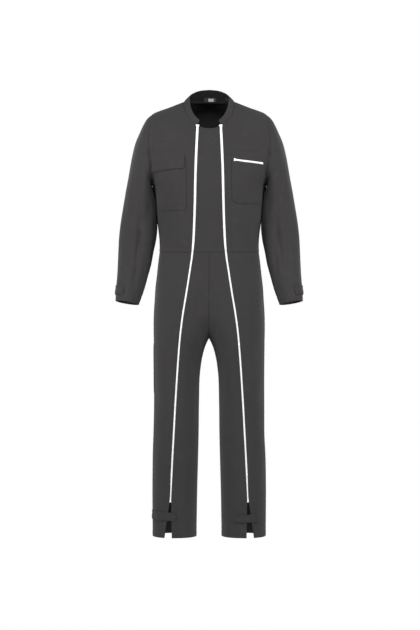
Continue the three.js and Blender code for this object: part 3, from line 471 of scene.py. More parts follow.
class Cloth:
    # a piece of cloth on a form. place turns (share across, distance from the top) into the form's
    # turn and along; edges say what its start, end, top and bottom do; lift is how far it stands off.
    # its outer face is the form's point, moved out by the lift, the edges' rises and the seams' pucker
    def __init__(self, form, place, length, lift=0, thick=1.2, pucker=0.22, **edges):
        self.form, self.place, self.length = form, place, length
        self.lift, self.thick, self.pucker = lift, thick, pucker
        self.extraRows = []
        self.edges = {name: edges.get(name, plainEdge) for name in ("start", "end", "top", "bottom")}
        shares, rows = np.meshgrid(np.linspace(0, 1, 33), np.linspace(0, length, 160))
        mesh = form.point(*place(shares, rows))
        self.rowAt = rows[:, 0]
        self.rowWidth = np.linalg.norm(np.diff(mesh, axis=1), axis=-1).sum(1)
        self.columnLength = np.linalg.norm(np.diff(mesh, axis=0), axis=-1).sum(0)
        diagonals = mesh[1:, 1:] - mesh[:-1, :-1], mesh[1:, :-1] - mesh[:-1, 1:]
        self.area = np.linalg.norm(np.cross(*diagonals), axis=-1).sum() / 2
        self.flat = (self.rowWidth.max(), self.columnLength.max())

    def width(self, distance):
        return np.interp(distance, self.rowAt, self.rowWidth)

    def at(self, share, distance):
        # point on the cloth's outer face and the way out of it
        turn, along = self.place(share, distance)
        point, normal = self.form.point(turn, along), self.form.normal(turn, along)
        width = self.width(distance)
        fromEdge = dict(start=share * width, end=(1 - share) * width,
                        top=distance, bottom=self.length - distance)
        rise = self.lift(share, distance / self.length) if callable(self.lift) else self.lift + 0 * share
        for name, edge in self.edges.items():
            rise = rise + edge(fromEdge[name], along)
        near = {name: np.exp(-away / ripple["reach"]) for name, away in fromEdge.items()}
        down, across = distance, share * width
        wave = np.sin(ripple["down"] * down + ripple["downDrift"] * np.sin(ripple["downSlow"] * down)) * (
            near["start"] + near["end"])
        wave = wave + np.sin(
            ripple["across"] * across + ripple["acrossDrift"] * np.sin(ripple["acrossSlow"] * across)) * (
            near["top"] + near["bottom"])
        rise = rise + self.pucker * wave
        return point + normal * rise[..., None], normal

    def grid(self, step):
        # shares and distances of a grid that is finer towards every edge
        rows = np.union1d(spaced(self.length, step), self.extraRows)
        widths = self.width(rows)[:, None]
        cluster = edgeSteps[edgeSteps < widths.min() * 0.4]
        count = max(int((widths.max() - 2 * cluster[-1]) / step), 1)
        middle = np.linspace(0, 1, count + 1)[None, :]
        left, right = cluster[None, :-1] / widths, 1 - cluster[None, -2::-1] / widths
        middle = mix(cluster[-1] / widths, 1 - cluster[-1] / widths, middle)
        shares = np.concatenate([left, middle, right], axis=1)
        return shares, rows[:, None] + 0 * shares


materials = {}


def addPiece(name, mesh, finish, body):
    piece = bpy.data.objects.new(name, mesh)
    bpy.context.scene.collection.objects.link(piece)
    piece.data.materials.append(materials[finish])
    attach(piece, body)
    return piece


def makeMesh(name, points, faces, uv=None, sharp=None, slot="cloth", finish=None, inside=None):
    # points in millimetres; faces are turned so that the closed shell's volume is above zero
    points, faces = np.asarray(points, float) * metre, np.asarray(faces)
    corners = points[faces]
    fans = [np.cross(corners[:, i], corners[:, i + 1]) for i in range(1, faces.shape[1] - 1)]
    if sum((corners[:, 0] * fan).sum() for fan in fans) < 0:
        faces = faces[:, ::-1]
    mesh = bpy.data.meshes.new(name)
    mesh.from_pydata(points.tolist(), [], faces.tolist())
    if uv is not None:
        layer = mesh.uv_layers.new(name="cut")
        layer.data.foreach_set("uv", (np.asarray(uv) * metre)[faces.ravel()].ravel().astype(np.float32))
    mesh.polygons.foreach_set("use_smooth", np.ones(len(faces), bool))
    if sharp is not None:
        ends = np.empty(len(mesh.edges) * 2, np.int32)
        mesh.edges.foreach_get("vertices", ends)
        ends = sharp[ends.reshape(-1, 2)]
        isSharp = (ends[:, 0] > 0) & (ends[:, 0] == ends[:, 1])
        mesh.attributes.new("sharp_edge", "BOOLEAN", "EDGE").data.foreach_set("value", isSharp)
    # the inside attribute carries painted shade: 0 on the outer face, the shade share on the inner face
    if inside is not None:
        shades = mesh.attributes.new("inside", "FLOAT", "POINT")
        shades.data.foreach_set("value", inside.astype(np.float32))
    mesh.update()
    return addPiece(name, mesh, finish or slot, "suit")


def wallFaces(rows, columns):
    # quads of an outer and an inner grid and of the four rims between them
    index = np.arange(rows * columns).reshape(rows, columns)
    outer = np.stack([index[:-1, :-1], index[1:, :-1], index[1:, 1:], index[:-1, 1:]], -1).reshape(-1, 4)
    inner = outer[:, ::-1] + rows * columns
    rim = np.concatenate([index[0], index[1:, -1], index[-1, -2::-1], index[-2:0:-1, 0]])
    after = np.roll(rim, -1)
    sides = np.stack([rim, after, after + rows * columns, rim + rows * columns], -1)
    return np.concatenate([outer, inner, sides]), rim


def sewPiece(name, cloth, node, step=5.2, slot="cloth", thickAt=None, seamNormals=None,
             shade=0.15):
    # the wall between the cloth's outer face and an inner one, a thickness behind it; where an edge
    # dips, the wall is thinner by as much, down to the thinnest
    thinnest = 0.35
    shares, distances = cloth.grid(step)
    outer, normal = cloth.at(shares, distances)
    if seamNormals is not None:
        normal = seamNormals(normal, outer, shares, distances)
    turn, along = cloth.place(shares, distances)
    base = cloth.form.point(turn, along)
    rise = ((outer - base) * cloth.form.normal(turn, along)).sum(-1)
    lift = cloth.lift(shares, distances / cloth.length) if callable(cloth.lift) else cloth.lift
    thick = cloth.thick + (0 if thickAt is None else thickAt(shares, distances))
    depth = np.maximum(thick + (rise - lift), thinnest)
    inner = outer - normal * depth[..., None]
    rows, columns = shares.shape
    faces, rim = wallFaces(rows, columns)
    widths = cloth.width(distances)
    uv = np.stack([shares * widths, distances], -1).reshape(-1, 2)
    sharp = np.zeros(2 * rows * columns, int)
    sharp[rim], sharp[rim + rows * columns] = 1, 2
    points = np.concatenate([outer.reshape(-1, 3), inner.reshape(-1, 3)])
    # painted shade on the inner face: the shade share sets how far it is darkened towards near-black
    inside = np.repeat([0.0, shade], rows * columns)
    piece = makeMesh(name, points, faces, np.concatenate([uv, uv]), sharp, slot=slot, inside=inside)
    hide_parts(node)


# Thread: short stitches, each a flattened spindle, sunk halfway into the cloth.
thread = dict(length=2.5, pitch=3.3, half=0.34, high=0.3, proud=0.05)
stitchLines = {}


def spindle(length, half, high):
    # three rings of six between two ends: radius follows the square root of a sine
    angles = np.arange(6) * np.pi / 3
    rings = [(-0.3, 0.8), (0, 1), (0.3, 0.8)]
    points = [(-length / 2, 0, 0)]
    points += [(at * length, size * half * math.cos(a), size * high * math.sin(a))
               for at, size in rings for a in angles]
    points += [(length / 2, 0, 0)]
    faces = [(0, 1 + (i + 1) % 6, 1 + i, 1 + i) for i in range(6)]
    for ring in range(2):
        a, b = 1 + ring * 6, 7 + ring * 6
        faces += [(a + i, a + (i + 1) % 6, b + (i + 1) % 6, b + i) for i in range(6)]
    faces += [(19, 13 + i, 13 + (i + 1) % 6, 13 + (i + 1) % 6) for i in range(6)]
    return np.array(points), faces


def along(points, normals, pitch, trim=0):
    # places a pitch apart on a line of points, with the way on, the way across and the way out there
    lengths = np.concatenate([[0], np.cumsum(np.linalg.norm(np.diff(points, axis=0), axis=-1))])
    count = max(int((lengths[-1] - 2 * trim) / pitch), 1)
    places = trim + (np.arange(count) + 0.5) * (lengths[-1] - 2 * trim) / count
    spot = np.stack([np.interp(places, lengths, points[:, i]) for i in range(3)], -1)
    ahead = np.stack([np.interp(places + pitch / 3, lengths, points[:, i]) for i in range(3)], -1)
    behind = np.stack([np.interp(places - pitch / 3, lengths, points[:, i]) for i in range(3)], -1)
    out = unit(np.stack([np.interp(places, lengths, normals[:, i]) for i in range(3)], -1))
    onwards = unit(ahead - behind)
    across = unit(np.cross(out, onwards))
    return spot, onwards, across, np.cross(onwards, across)


def repeated(template, spot, onwards, across, out):
    # copies of a template at each place, its axes turned to onwards, across and out
    axes = np.stack([onwards, across, out], axis=1)
    return (spot[:, None] + template @ axes).reshape(-1, 3)


def stitch(group, cloth, shares, distances):
    # a sewn line over shares and distances of a piece of cloth
    point, normal = cloth.at(shares, distances)
    spot, onwards, across, out = along(point, normal, thread["pitch"])
    stitchLines.setdefault(group, []).append((spot + out * thread["proud"], onwards, across, out))


belowTop, allRound = ("start", "end", "bottom"), ("start", "end", "top", "bottom")


def stitchEdge(group, cloth, edge, offset=seam["stitchAt"], trim=(3, 3)):
    # a sewn line beside one edge of a piece of cloth
    if edge in ("start", "end"):
        distance = np.linspace(trim[0], cloth.length - trim[1], int(cloth.length / 3) + 2)
        share = offset / cloth.width(distance)
        stitch(group, cloth, share if edge == "start" else 1 - share, distance)
    else:
        distance = offset if edge == "top" else cloth.length - offset
        width = cloth.width(distance)
        share = np.linspace(trim[0] / width, 1 - trim[1] / width, int(width / 3) + 2)
        stitch(group, cloth, share, distance + 0 * share)


def stitchEdges(group, cloth, edges, *offsets):
    for edge in edges:
        for offset in offsets or (seam["stitchAt"],):
            stitchEdge(group, cloth, edge, offset)


def makeStitches():
    template, faces = spindle(thread["length"], thread["half"], thread["high"])
    for group, lines in stitchLines.items():
        spots = [np.concatenate(parts) for parts in zip(*lines)]
        points = repeated(template, *spots)
        quads = np.array(faces)[None] + (np.arange(len(spots[0])) * len(template))[:, None, None]
        quads = quads.reshape(-1, 4)
        triangles = quads[:, 2] == quads[:, 3]
        mesh = bpy.data.meshes.new(group)
        mesh.from_pydata((points * metre).tolist(), [],
                         quads[triangles, :3].tolist() + quads[~triangles].tolist())
        mesh.polygons.foreach_set("use_smooth", np.ones(len(mesh.polygons), bool))
        mesh.update()
        addPiece(group, mesh, "thread", "suit")
        print(f"{group}: {len(spots[0])} stitches")


# Shader maths as expressions.
class Wire:
    def __init__(self, finish, socket):
        self.finish, self.socket = finish, socket

    def maths(self, operation, a, b):
        return self.finish.node("ShaderNodeMath", {"operation": operation}, {0: a, 1: b})

    def __add__(self, other):
        return self.maths("ADD", self, other)

    def __sub__(self, other):
        return self.maths("SUBTRACT", self, other)

    def __rsub__(self, other):
        return self.maths("SUBTRACT", other, self)

    def __mul__(self, other):
        return self.maths("MULTIPLY", self, other)

    __radd__ = __add__
    __rmul__ = __mul__


class Finish:
    # a material being made; node() adds any node with its settings, then its values or links
    def __init__(self, name, **fixed):
        self.material = bpy.data.materials.new(name)
        self.material.use_nodes = True
        self.tree = self.material.node_tree
        self.shader = self.tree.nodes["Principled BSDF"]
        for socket, value in fixed.items():
            self.shader.inputs[socket.replace("_", " ")].default_value = value

    def node(self, kind, settings=None, values=None, out=0):
        node = self.tree.nodes.new(kind)
        for name, value in (settings or {}).items():
            setattr(node, name, value)
        for key, value in (values or {}).items():
            if isinstance(value, Wire):
                self.tree.links.new(value.socket, node.inputs[key])
            else:
                node.inputs[key].default_value = value
        return Wire(self, node.outputs[out])

    def feed(self, **wires):
        for socket, wire in wires.items():
            self.tree.links.new(wire.socket, self.shader.inputs[socket.replace("_", " ")])

    def cut(self, axis):
        uv = self.node("ShaderNodeUVMap", {"uv_map": "cut"})
        return self.node("ShaderNodeSeparateXYZ", None, {0: uv}, out=axis)

    def noise(self, scale, detail=3.0, stretch=(1, 1, 1)):
        place = self.node("ShaderNodeTexCoord", out="Object")
        place = self.node("ShaderNodeMapping", None, {"Vector": place, "Scale": stretch})
        return self.node("ShaderNodeTexNoise", None, {"Vector": place, "Scale": scale, "Detail": detail})

    def blend(self, share, a, b):
        return self.node("ShaderNodeMix", {"data_type": "RGBA"}, {0: share, 6: a, 7: b}, out=2)

    def bump(self, height, strength, distance):
        values = {"Strength": strength, "Distance": distance, "Height": height}
        return self.node("ShaderNodeBump", None, values)

    def wave(self, place, pitch):
        # 0 to 1 and back over each pitch, by a sine
        turns = place * (2 * math.pi / pitch)
        return self.node("ShaderNodeMath", {"operation": "SINE"}, {0: turns}) * 0.5 + 0.5

    def ramp(self, value, low, high):
        return self.node("ShaderNodeMapRange", None, {0: value, 1: low, 2: high})

    def within(self, value, middle, reach):
        return self.node("ShaderNodeMath", {"operation": "COMPARE"}, {0: value, 1: middle, 2: reach})


# the last colour here is a near-black painted shade for the inside faces, not a colour of the cloth
weave = dict(twillPitch=0.0011, slant=0.82, threadPitch=0.0007, dark=(0.0243, 0.0228, 0.0236, 1),
             light=(0.0345, 0.0325, 0.0335, 1), worn=(0.0395, 0.0378, 0.0386, 1),
             paintedInsideShade=(0.009, 0.0086, 0.0088, 1))


def clothFinish(name="charcoal_twill", dark=weave["dark"], light=weave["light"], worn=weave["worn"]):
    # slanted twill lines over the cut, crossed by single threads, with slow patches of tone; painted shade
    # darkens the inside faces of the suit towards a near-black, by their inside attribute
    finish = Finish(name, Roughness=0.88, Sheen_Weight=0.05, Sheen_Roughness=0.6,
                    Specular_IOR_Level=0.12)
    u, v = finish.cut(0), finish.cut(1)
    twill = finish.wave(u + v * weave["slant"], weave["twillPitch"])
    rib = finish.wave(v, weave["threadPitch"]) * 2
    patches = finish.noise(9, 4, (1, 1, 0.6))
    fibres = finish.noise(420, 2)
    tone = patches * 0.7 + twill * 0.22 + fibres * 0.3 - 0.12
    color = finish.blend(tone, dark, light)
    wearMask = finish.ramp(finish.noise(38, 5), 0.56, 0.8) * 0.5
    # painted shade: the inside attribute blends the inside faces towards the near-black shade colour
    inner = finish.node("ShaderNodeAttribute", {"attribute_name": "inside"}, out="Fac")
    finish.feed(Base_Color=finish.blend(inner, finish.blend(wearMask, color, worn), weave["paintedInsideShade"]),
                Roughness=0.9 - patches * 0.12,
                Normal=finish.bump(twill + rib * 0.25 + fibres * 0.5, 0.35, 0.00022))
    return finish.material


def plasticFinish(name, color, rough, dirt=(0.7, 0.7, 0.69, 1)):
    finish = Finish(name, Roughness=rough, Specular_IOR_Level=0.5)
    smudge = finish.ramp(finish.noise(120, 4), 0.5, 0.85) * 0.3
    finish.feed(Base_Color=finish.blend(smudge, color, dirt), Roughness=rough + smudge * 0.3,
                Normal=finish.bump(finish.noise(900, 2), 0.1, 0.0001))
    return finish.material


def tapeFinish(name="zip_tape"):
    # herringbone tape: fine ribs that lean one way and the other on each side of its middle
    finish = Finish(name, Roughness=0.75, Sheen_Weight=0.1, Specular_IOR_Level=0.3)
    u, v = finish.cut(0), finish.cut(1)
    lean = finish.node("ShaderNodeMath", {"operation": "ABSOLUTE"}, {0: u})
    rib = finish.wave(lean + v, 0.0009)
    finish.feed(Base_Color=finish.blend(rib * 0.5, (0.86, 0.86, 0.85, 1), (0.72, 0.72, 0.71, 1)),
                Normal=finish.bump(rib, 0.3, 0.0002))
    return finish.material


def labelFinish(name="label_weave", pale=(0.5, 0.5, 0.49, 1), dark=(0.02, 0.02, 0.021, 1)):
    # a bare label: satin ground, with a plain pale field in its middle
    finish = Finish(name, Roughness=0.55, Sheen_Weight=0.15)
    u, v = finish.cut(0), finish.cut(1)
    rib = finish.wave(v, 0.0006)
    field = finish.within(u, 0.019, 0.0095) * finish.within(v, 0.0058, 0.0045)
    ground = finish.blend(rib * 0.4, dark, (0.045, 0.045, 0.047, 1))
    finish.feed(Base_Color=finish.blend(field, ground, pale), Normal=finish.bump(rib, 0.3, 0.00015))
    return finish.material


materials["cloth"] = clothFinish()
materials["thread"] = clothFinish("charcoal_thread", (0.034, 0.0325, 0.0333, 1),
                                  (0.056, 0.054, 0.055, 1), (0.06, 0.058, 0.059, 1))
materials["zip_tape"] = tapeFinish()
materials["zip_teeth"] = plasticFinish("zip_teeth", (0.88, 0.88, 0.87, 1), 0.4)
materials["zip_slider"] = plasticFinish("white_enamel", (0.86, 0.86, 0.85, 1), 0.32)
materials["label"] = labelFinish()
print("finishes ready")


# Body panels.
def bodySide(onBack):
    # the body's rim lies softly over the sleeve at the armhole; elsewhere the back lies over the front
    def edge(distance, down):
        atArmhole = smoothStep(105, 117, down) * (1 - smoothStep(362, 372, down))
        return mix(plainEdge(distance), raisedEdge(distance), mix(onBack, 0.4, atArmhole))
    return edge


def zipTurn(side, edge):
    return lambda down: side * torsoFrontTurn(zipEdge(torso("frontZ", down), edge), down)


def torsoPanel(firstTurn, lastTurn, **edges):
    def place(share, distance):
        return mix(firstTurn(distance), lastTurn(distance), share), distance + 0 * share
    return Cloth(torsoForm, place, waistDown, top=plainEdge, bottom=waistEdge, **edges)


def frontEnd(side):
    return lambda down: side * torsoSection(down, False)[3]


def backEnd(down):
    return 180 - torsoSection(down, True)[3]


frontCentre = torsoPanel(zipTurn(-1, -1), zipTurn(1, -1), start=raisedEdge, end=raisedEdge)
frontCentre.edges["top"] = softEdge
sewPiece("front_centre_cloth", frontCentre, "front_centre")
stitchEdges("stitching_body", frontCentre, belowTop)
stitchEdge("stitching_body", frontCentre, "bottom", seam["secondAt"])
stitchEdge("stitching_body", frontCentre, "top", 6)
for side, word in ((1, "left"), (-1, "right")):
    front = torsoPanel(zipTurn(side, 1), frontEnd(side), start=raisedEdge, end=bodySide(0))
    sewPiece(f"front_{word}_cloth", front, f"front_{word}")
    stitchEdges("stitching_body", front, belowTop)
    stitchEdge("stitching_body", front, "bottom", seam["secondAt"])
back = torsoPanel(backEnd, lambda down: 360 - backEnd(down), start=bodySide(1), end=bodySide(1))
sewPiece("back_cloth", back, "back")
stitchEdges("stitching_body", back, belowTop)
stitchEdge("stitching_body", back, "bottom", seam["secondAt"])

# Collar: it starts beside the zips, is one piece all round, and is sewn on a little below the neckline.
collarHeight = 36
collarTurnIn = 4
collarStart = torsoFrontTurn(zipLine("middle", -84), 0)


def collarPlace(share, distance):
    return mix(collarStart, 360 - collarStart, share), (distance - collarTurnIn) / collarHeight


def collarLift(share, t):
    # inside the neckline below the seam, and on the collar's own line above it
    height = t * (collarHeight + collarTurnIn) - collarTurnIn
    return -1.3 * (1 - smoothStep(-1, 1, height)) + 0 * share


collar = Cloth(collarForm, collarPlace, collarHeight + collarTurnIn, lift=collarLift, thick=2.2,
               pucker=0.12, start=sewnEdge, end=sewnEdge, top=softEdge, bottom=sewnEdge)
# the collar's inner face is painted in full shade
sewPiece("collar_cloth", collar, "collar", step=3, shade=1.0)
stitchEdges("stitching_body", collar, belowTop, 2)
print("body ready")


# Trousers: above the crotch the two halves meet on the centre plane.
def centreFront(z):
    return np.where(z > crotchZ, legFrontTurn(0, np.maximum(z, crotchZ)), -90)


def centreBack(z):
    return np.where(z > crotchZ, 180 - legFrontTurn(0, np.maximum(z, crotchZ)), 270)


def legPanel(side, firstTurn, lastTurn, **edges):
    def place(share, distance):
        z = waistZ - distance
        return mix(firstTurn(z), lastTurn(z), share), z + 0 * share
    return Cloth(legForms[side], place, waistZ - hemZ, top=plainEdge, bottom=hemEdge, **edges)


def meetCentre(column):
    # the centre seam stays on the centre plane, and its wall stands square to the seam's own line
    def seamNormals(normal, outer, shares, distances):
        line = outer[:, column]
        above = distances[:, column] < waistZ - crotchZ
        line[above, 0] = 0
        step = np.gradient(line, axis=0)
        square = unit(stacked(0, step[:, 2], -step[:, 1]))
        square = square * np.sign((square * (line - (0, 0, -600))).sum(-1, keepdims=True))
        normal[above, column] = square[above]
        return normal
    return seamNormals


hemFold = foldedAt(waistZ - hemZ)
centreStitchesEndZ = -1200
crotchRows = waistZ - crotchZ + np.array([-9, -6.5, -4.5, -3, -1.8, -0.9, -0.3, 0, 0.4, 1.2, 2.5, 4])
for side, word in ((1, "left"), (-1, "right")):
    centreEdge = raisedEdge if side > 0 else plainEdge
    inner = legPanel(side, centreFront, lambda z: legFrontTurn(zipEdge(z, -1), z), start=centreEdge,
                     end=raisedEdge)
    outer = legPanel(side, lambda z: legFrontTurn(zipEdge(z, 1), z), lambda z: 90, start=raisedEdge)
    rear = legPanel(side, lambda z: 90, centreBack, start=raisedEdge, end=centreEdge)
    inner.extraRows = rear.extraRows = crotchRows
    sewPiece(f"leg_front_inner_{word}_cloth", inner, f"leg_front_inner_{word}", thickAt=hemFold,
             seamNormals=meetCentre(0))
    sewPiece(f"leg_front_outer_{word}_cloth", outer, f"leg_front_outer_{word}", thickAt=hemFold)
    sewPiece(f"leg_back_{word}_cloth", rear, f"leg_back_{word}", thickAt=hemFold,
             seamNormals=meetCentre(-1))
    stitchEdge("stitching_legs", inner, "end")
    stitchEdge("stitching_legs", outer, "start")
    stitchEdge("stitching_legs", rear, "start")
    if side > 0:
        stitchEdge("stitching_legs", inner, "start", trim=(3, centreStitchesEndZ - hemZ))
    for part in (inner, outer, rear):
        stitchEdge("stitching_legs", part, "bottom", seam["hemAt"])
print("legs ready")


# Sleeves: one piece of cloth each, closed by the seam along the inside of the arm.
def sleevePlace(share, distance):
    return 180 + 360 * share, distance + 0 * share


for side, word in ((1, "left"), (-1, "right")):
    arm = Cloth(sleeveForms[side], sleevePlace, cuffAlong, start=raisedEdge, end=plainEdge, top=softEdge,
                bottom=hemEdge)
    sewPiece(f"sleeve_{word}_cloth", arm, f"sleeve_{word}", thickAt=foldedAt(cuffAlong))
    stitchEdge("stitching_sleeves", arm, "start")
    stitchEdge("stitching_sleeves", arm, "bottom", seam["hemAt"])
print("sleeves ready")


# Patches on the chest: across runs from the centre outwards, and each corner is rounded by its pull.
def cornerPull(radius, fromEnd):
    return radius - np.sqrt(radius**2 - np.maximum(radius - np.maximum(fromEnd, 0), 0) ** 2)


def chestPatch(side, length, distanceAt, zAt, **settings):
    def place(share, distance):
        t = distance / length
        return torsoPlace(side * distanceAt(share, t), zAt(share, t))
    return Cloth(torsoForm, place, length, pucker=0.15, start=sewnEdge, end=sewnEdge, bottom=sewnEdge,
                 **settings)


def puffed(low, high):
    # sewn down at low round the edge, and standing off by high in the middle
    def lift(share, t):
        dome = 1 - (1 - np.clip(4 * share * (1 - share), 0, 1)) ** 3
        return low + high * dome * (1 - (1 - np.clip(4 * t * (1 - t), 0, 1)) ** 3)
    return lift


flapPocket = dict(top=-206, bottom=-373, inner=79, outerTop=190, outerBottom=176, corner=16, sag=3)
flap = dict(topInner=-177.5, topOuter=-185.5, bottomInner=-232.5, bottomOuter=-243, innerTop=84,
            innerBottom=86, outerTop=197, outerBottom=194, bow=1.8, long=55)
zipPocket = dict(top=-176, bottom=-352, inner=78, outerTop=188, outerBottom=180, corner=24)
pocketZip = dict(innerZ=-203, outerZ=-214.6, middleZ=-209, half=4.1, start=84, end=184, narrower=0.9,
                 overlap=1.1)


def flapPocketDistance(share, t):
    p = flapPocket
    pull = cornerPull(p["corner"], (1 - t) * (p["top"] - p["bottom"]))
    return mix(p["inner"], mix(p["outerTop"], p["outerBottom"], t) - pull, share)


flapPocketCloth = chestPatch(-1, flapPocket["top"] - flapPocket["bottom"], flapPocketDistance,
                             lambda share, t: mix(flapPocket["top"], flapPocket["bottom"], t)
                             - flapPocket["sag"] * share * t, lift=puffed(2.2, 1.3), top=softEdge)
sewPiece("chest_pocket_right_cloth", flapPocketCloth, "chest_pocket_right", step=4)
stitchEdges("stitching_pockets", flapPocketCloth, belowTop, 2, 7)
penDown = np.linspace(2, 160, 60)
for penShare in (0.29, 0.345):
    stitch("stitching_pockets", flapPocketCloth, penShare + 0 * penDown, penDown)


def flapLift(share, t):
    return 1 + 3.4 * smoothStep(0, 0.5, t) + 2.2 * t**2 + 0.5 * np.sin(5.2 * share + 0.6) * t


def flapDistance(share, t):
    inner = mix(flap["innerTop"], flap["innerBottom"], t)
    outer = mix(flap["outerTop"], flap["outerBottom"], t)
    return mix(inner, outer, share)


def flapZ(share, t):
    top = mix(flap["topInner"], flap["topOuter"], share)
    return mix(top, mix(flap["bottomInner"], flap["bottomOuter"], share ** flap["bow"]), t)


flapCloth = chestPatch(-1, flap["long"], flapDistance, flapZ, lift=flapLift, thick=1.8, top=plainEdge)
sewPiece("chest_flap_right_cloth", flapCloth, "chest_flap_right", step=3.5)
stitchEdges("stitching_pockets", flapCloth, belowTop, 2)
stitchEdge("stitching_pockets", flapCloth, "top", 2.2)


def pocketZipZ(distance):
    p = pocketZip
    return mix(p["innerZ"], p["outerZ"], (distance - p["start"]) / (p["end"] - p["start"]))


def zipPocketDistance(share, z):
    p = zipPocket
    outer = mix(p["outerTop"], p["outerBottom"], (p["top"] - z) / (p["top"] - p["bottom"]))
    return mix(p["inner"] + cornerPull(p["corner"], z - p["bottom"]), outer, share)


def slotEdge(share, side):
    middle = pocketZipZ(zipPocketDistance(share, pocketZip["middleZ"]))
    return middle + side * (pocketZip["half"] - pocketZip["overlap"])


def bandZ(share, t):
    return mix(zipPocket["top"], slotEdge(share, 1), t)


def lowerZ(share, t):
    return mix(slotEdge(share, -1), zipPocket["bottom"], t)


bandCloth = chestPatch(1, 26, lambda share, t: zipPocketDistance(share, bandZ(share, t)), bandZ,
                       lift=lambda share, t: 1.7 + 0 * share * t, top=sewnEdge)
lowerCloth = chestPatch(1, 140, lambda share, t: zipPocketDistance(share, lowerZ(share, t)), lowerZ,
                        lift=puffed(2.2, 1.3), top=raisedEdge)
for name, part, node in (("chest_pocket_band_left_cloth", bandCloth, "chest_pocket_band_left"),
                         ("chest_pocket_left_cloth", lowerCloth, "chest_pocket_left")):
    sewPiece(name, part, node, step=4)
    stitchEdges("stitching_pockets", part, allRound, 2)
stitchEdge("stitching_pockets", lowerCloth, "bottom", 7)

# Rule pocket on the outside of the right thigh.
rulePocket = dict(topZ=-834, bottomZ=-1010, frontTurn=80, backTurn=128)


def rulePlace(share, distance):
    return (mix(rulePocket["frontTurn"], rulePocket["backTurn"], share),
            rulePocket["topZ"] - distance + 0 * share)


ruleCloth = Cloth(legForms[-1], rulePlace, rulePocket["topZ"] - rulePocket["bottomZ"],
                  lift=puffed(1.4, 1.5), pucker=0.15, start=sewnEdge, end=sewnEdge, top=softEdge,
                  bottom=sewnEdge)
sewPiece("ruler_pocket_right_cloth", ruleCloth, "ruler_pocket_right", step=4)
stitchEdges("stitching_pockets", ruleCloth, belowTop, 2)
stitchEdge("stitching_pockets", ruleCloth, "top", 12)

# Straps over the hem slits and tabs round the cuffs: two layers, stitched all round.
strap = dict(thick=2, stand=0.9, stitchAt=2.4)


def strapLift(share, t):
    # two soft folds along the strap, and its lower edge stands off
    ripple = 0.5 * np.cos(2 * np.pi * (t * 1.5 + 0.08 * share))
    return strap["stand"] + strap["thick"] - 0.4 + ripple + 1.6 * t**2


def strapCloth(form, place, wide):
    return Cloth(form, place, wide, lift=strapLift, thick=strap["thick"], pucker=0.1,
                 start=sewnEdge, end=sewnEdge, top=sewnEdge, bottom=sewnEdge)


def hemStrap(side, topZ, bottomZ, innerDistance, endTurn):
    def place(share, distance):
        z = topZ - distance
        return mix(legFrontTurn(innerDistance, z), endTurn(z), share), z + 0 * share
    return strapCloth(legForms[side], place, topZ - bottomZ)


def cuffTab(side, first=612, last=642, backTurn=-50, frontTurn=66):
    def place(share, distance):
        return mix(backTurn, frontTurn, share), first + distance + 0 * share
    return strapCloth(sleeveForms[side], place, last - first)


straps = [
    ("hem_tab_right", hemStrap(-1, -1415, -1443, 115, lambda z: 104), "leg_front_outer_right_cloth"),
    ("hem_tab_left", hemStrap(1, -1422, -1449, 85, lambda z: legFrontTurn(171, z)),
     "leg_front_inner_left_cloth"),
    ("cuff_tab_left", cuffTab(1), "sleeve_left_cloth"),
    ("cuff_tab_right", cuffTab(-1), "sleeve_right_cloth"),
]
for node, part, under in straps:
    sewPiece(f"{node}_cloth", part, node, step=3)
    stitchEdges("stitching_straps", part, allRound, strap["stitchAt"])
print("pockets and straps ready")


# Bare labels inside the collar.
def insideCollar(turns, shares):
    length = (shares[1] - shares[0]) * collarHeight

    def place(share, distance):
        return mix(turns[0], turns[1], share), mix(shares[0], shares[1], distance / length) + 0 * share
    return Cloth(collarForm, place, length, lift=-2.75, thick=0.6, pucker=0.05,
                 start=softEdge, end=softEdge, top=softEdge, bottom=softEdge)


neckLabel = insideCollar((163, 192), (0, 0.38))
sizeTab = insideCollar((127, 134), (0.2, 0.55))
for node, part in (("neck_label", neckLabel), ("size_tab", sizeTab)):
    sewPiece(f"{node}_cloth", part, node, step=1.6, slot="label")


# Zips: tape and two rows of moulded teeth that lock in turn.
tooth = dict(pitch=2.9, reach=3, tail=1.2, half=1, high=1.35)
tape = dict(level=0.25, crown=0.25, thick=1.1, narrower=0.7)


def zipStrip(side, shares, step):
    # points and ways out, down the body and then down the leg; shares run from -1 to 1 across
    downs = np.linspace(1.5, waistDown, int(waistDown / step))[:, None]
    z = torso("frontZ", downs)
    distance = zipLine("middle", z) + shares * (zipLine("half", z) - tape["narrower"])
    turn = side * torsoFrontTurn(distance, downs)
    downs = downs + 0 * turn
    zs = np.linspace(waistZ, zipEndZ, int((waistZ - zipEndZ) / step))[1:, None]
    legDistance = zipLine("middle", zs) + shares * (zipLine("half", zs) - tape["narrower"])
    legTurn = legFrontTurn(legDistance, zs)
    zs = zs + 0 * legTurn
    form = legForms[side]
    points = np.concatenate([torsoForm.point(turn, downs), form.point(legTurn, zs)])
    return points, np.concatenate([torsoForm.normal(turn, downs), form.normal(legTurn, zs)])


def pocketStrip(shares, step):
    p = pocketZip
    distance = np.linspace(p["start"], p["end"], int((p["end"] - p["start"]) / step))
    distance = distance[:, None] + 0 * shares
    turn, down = torsoPlace(distance, pocketZipZ(distance) - shares * (p["half"] - p["narrower"]))
    lift = 1.2
    normal = torsoForm.normal(turn, down)
    return torsoForm.point(turn, down) + normal * lift, normal


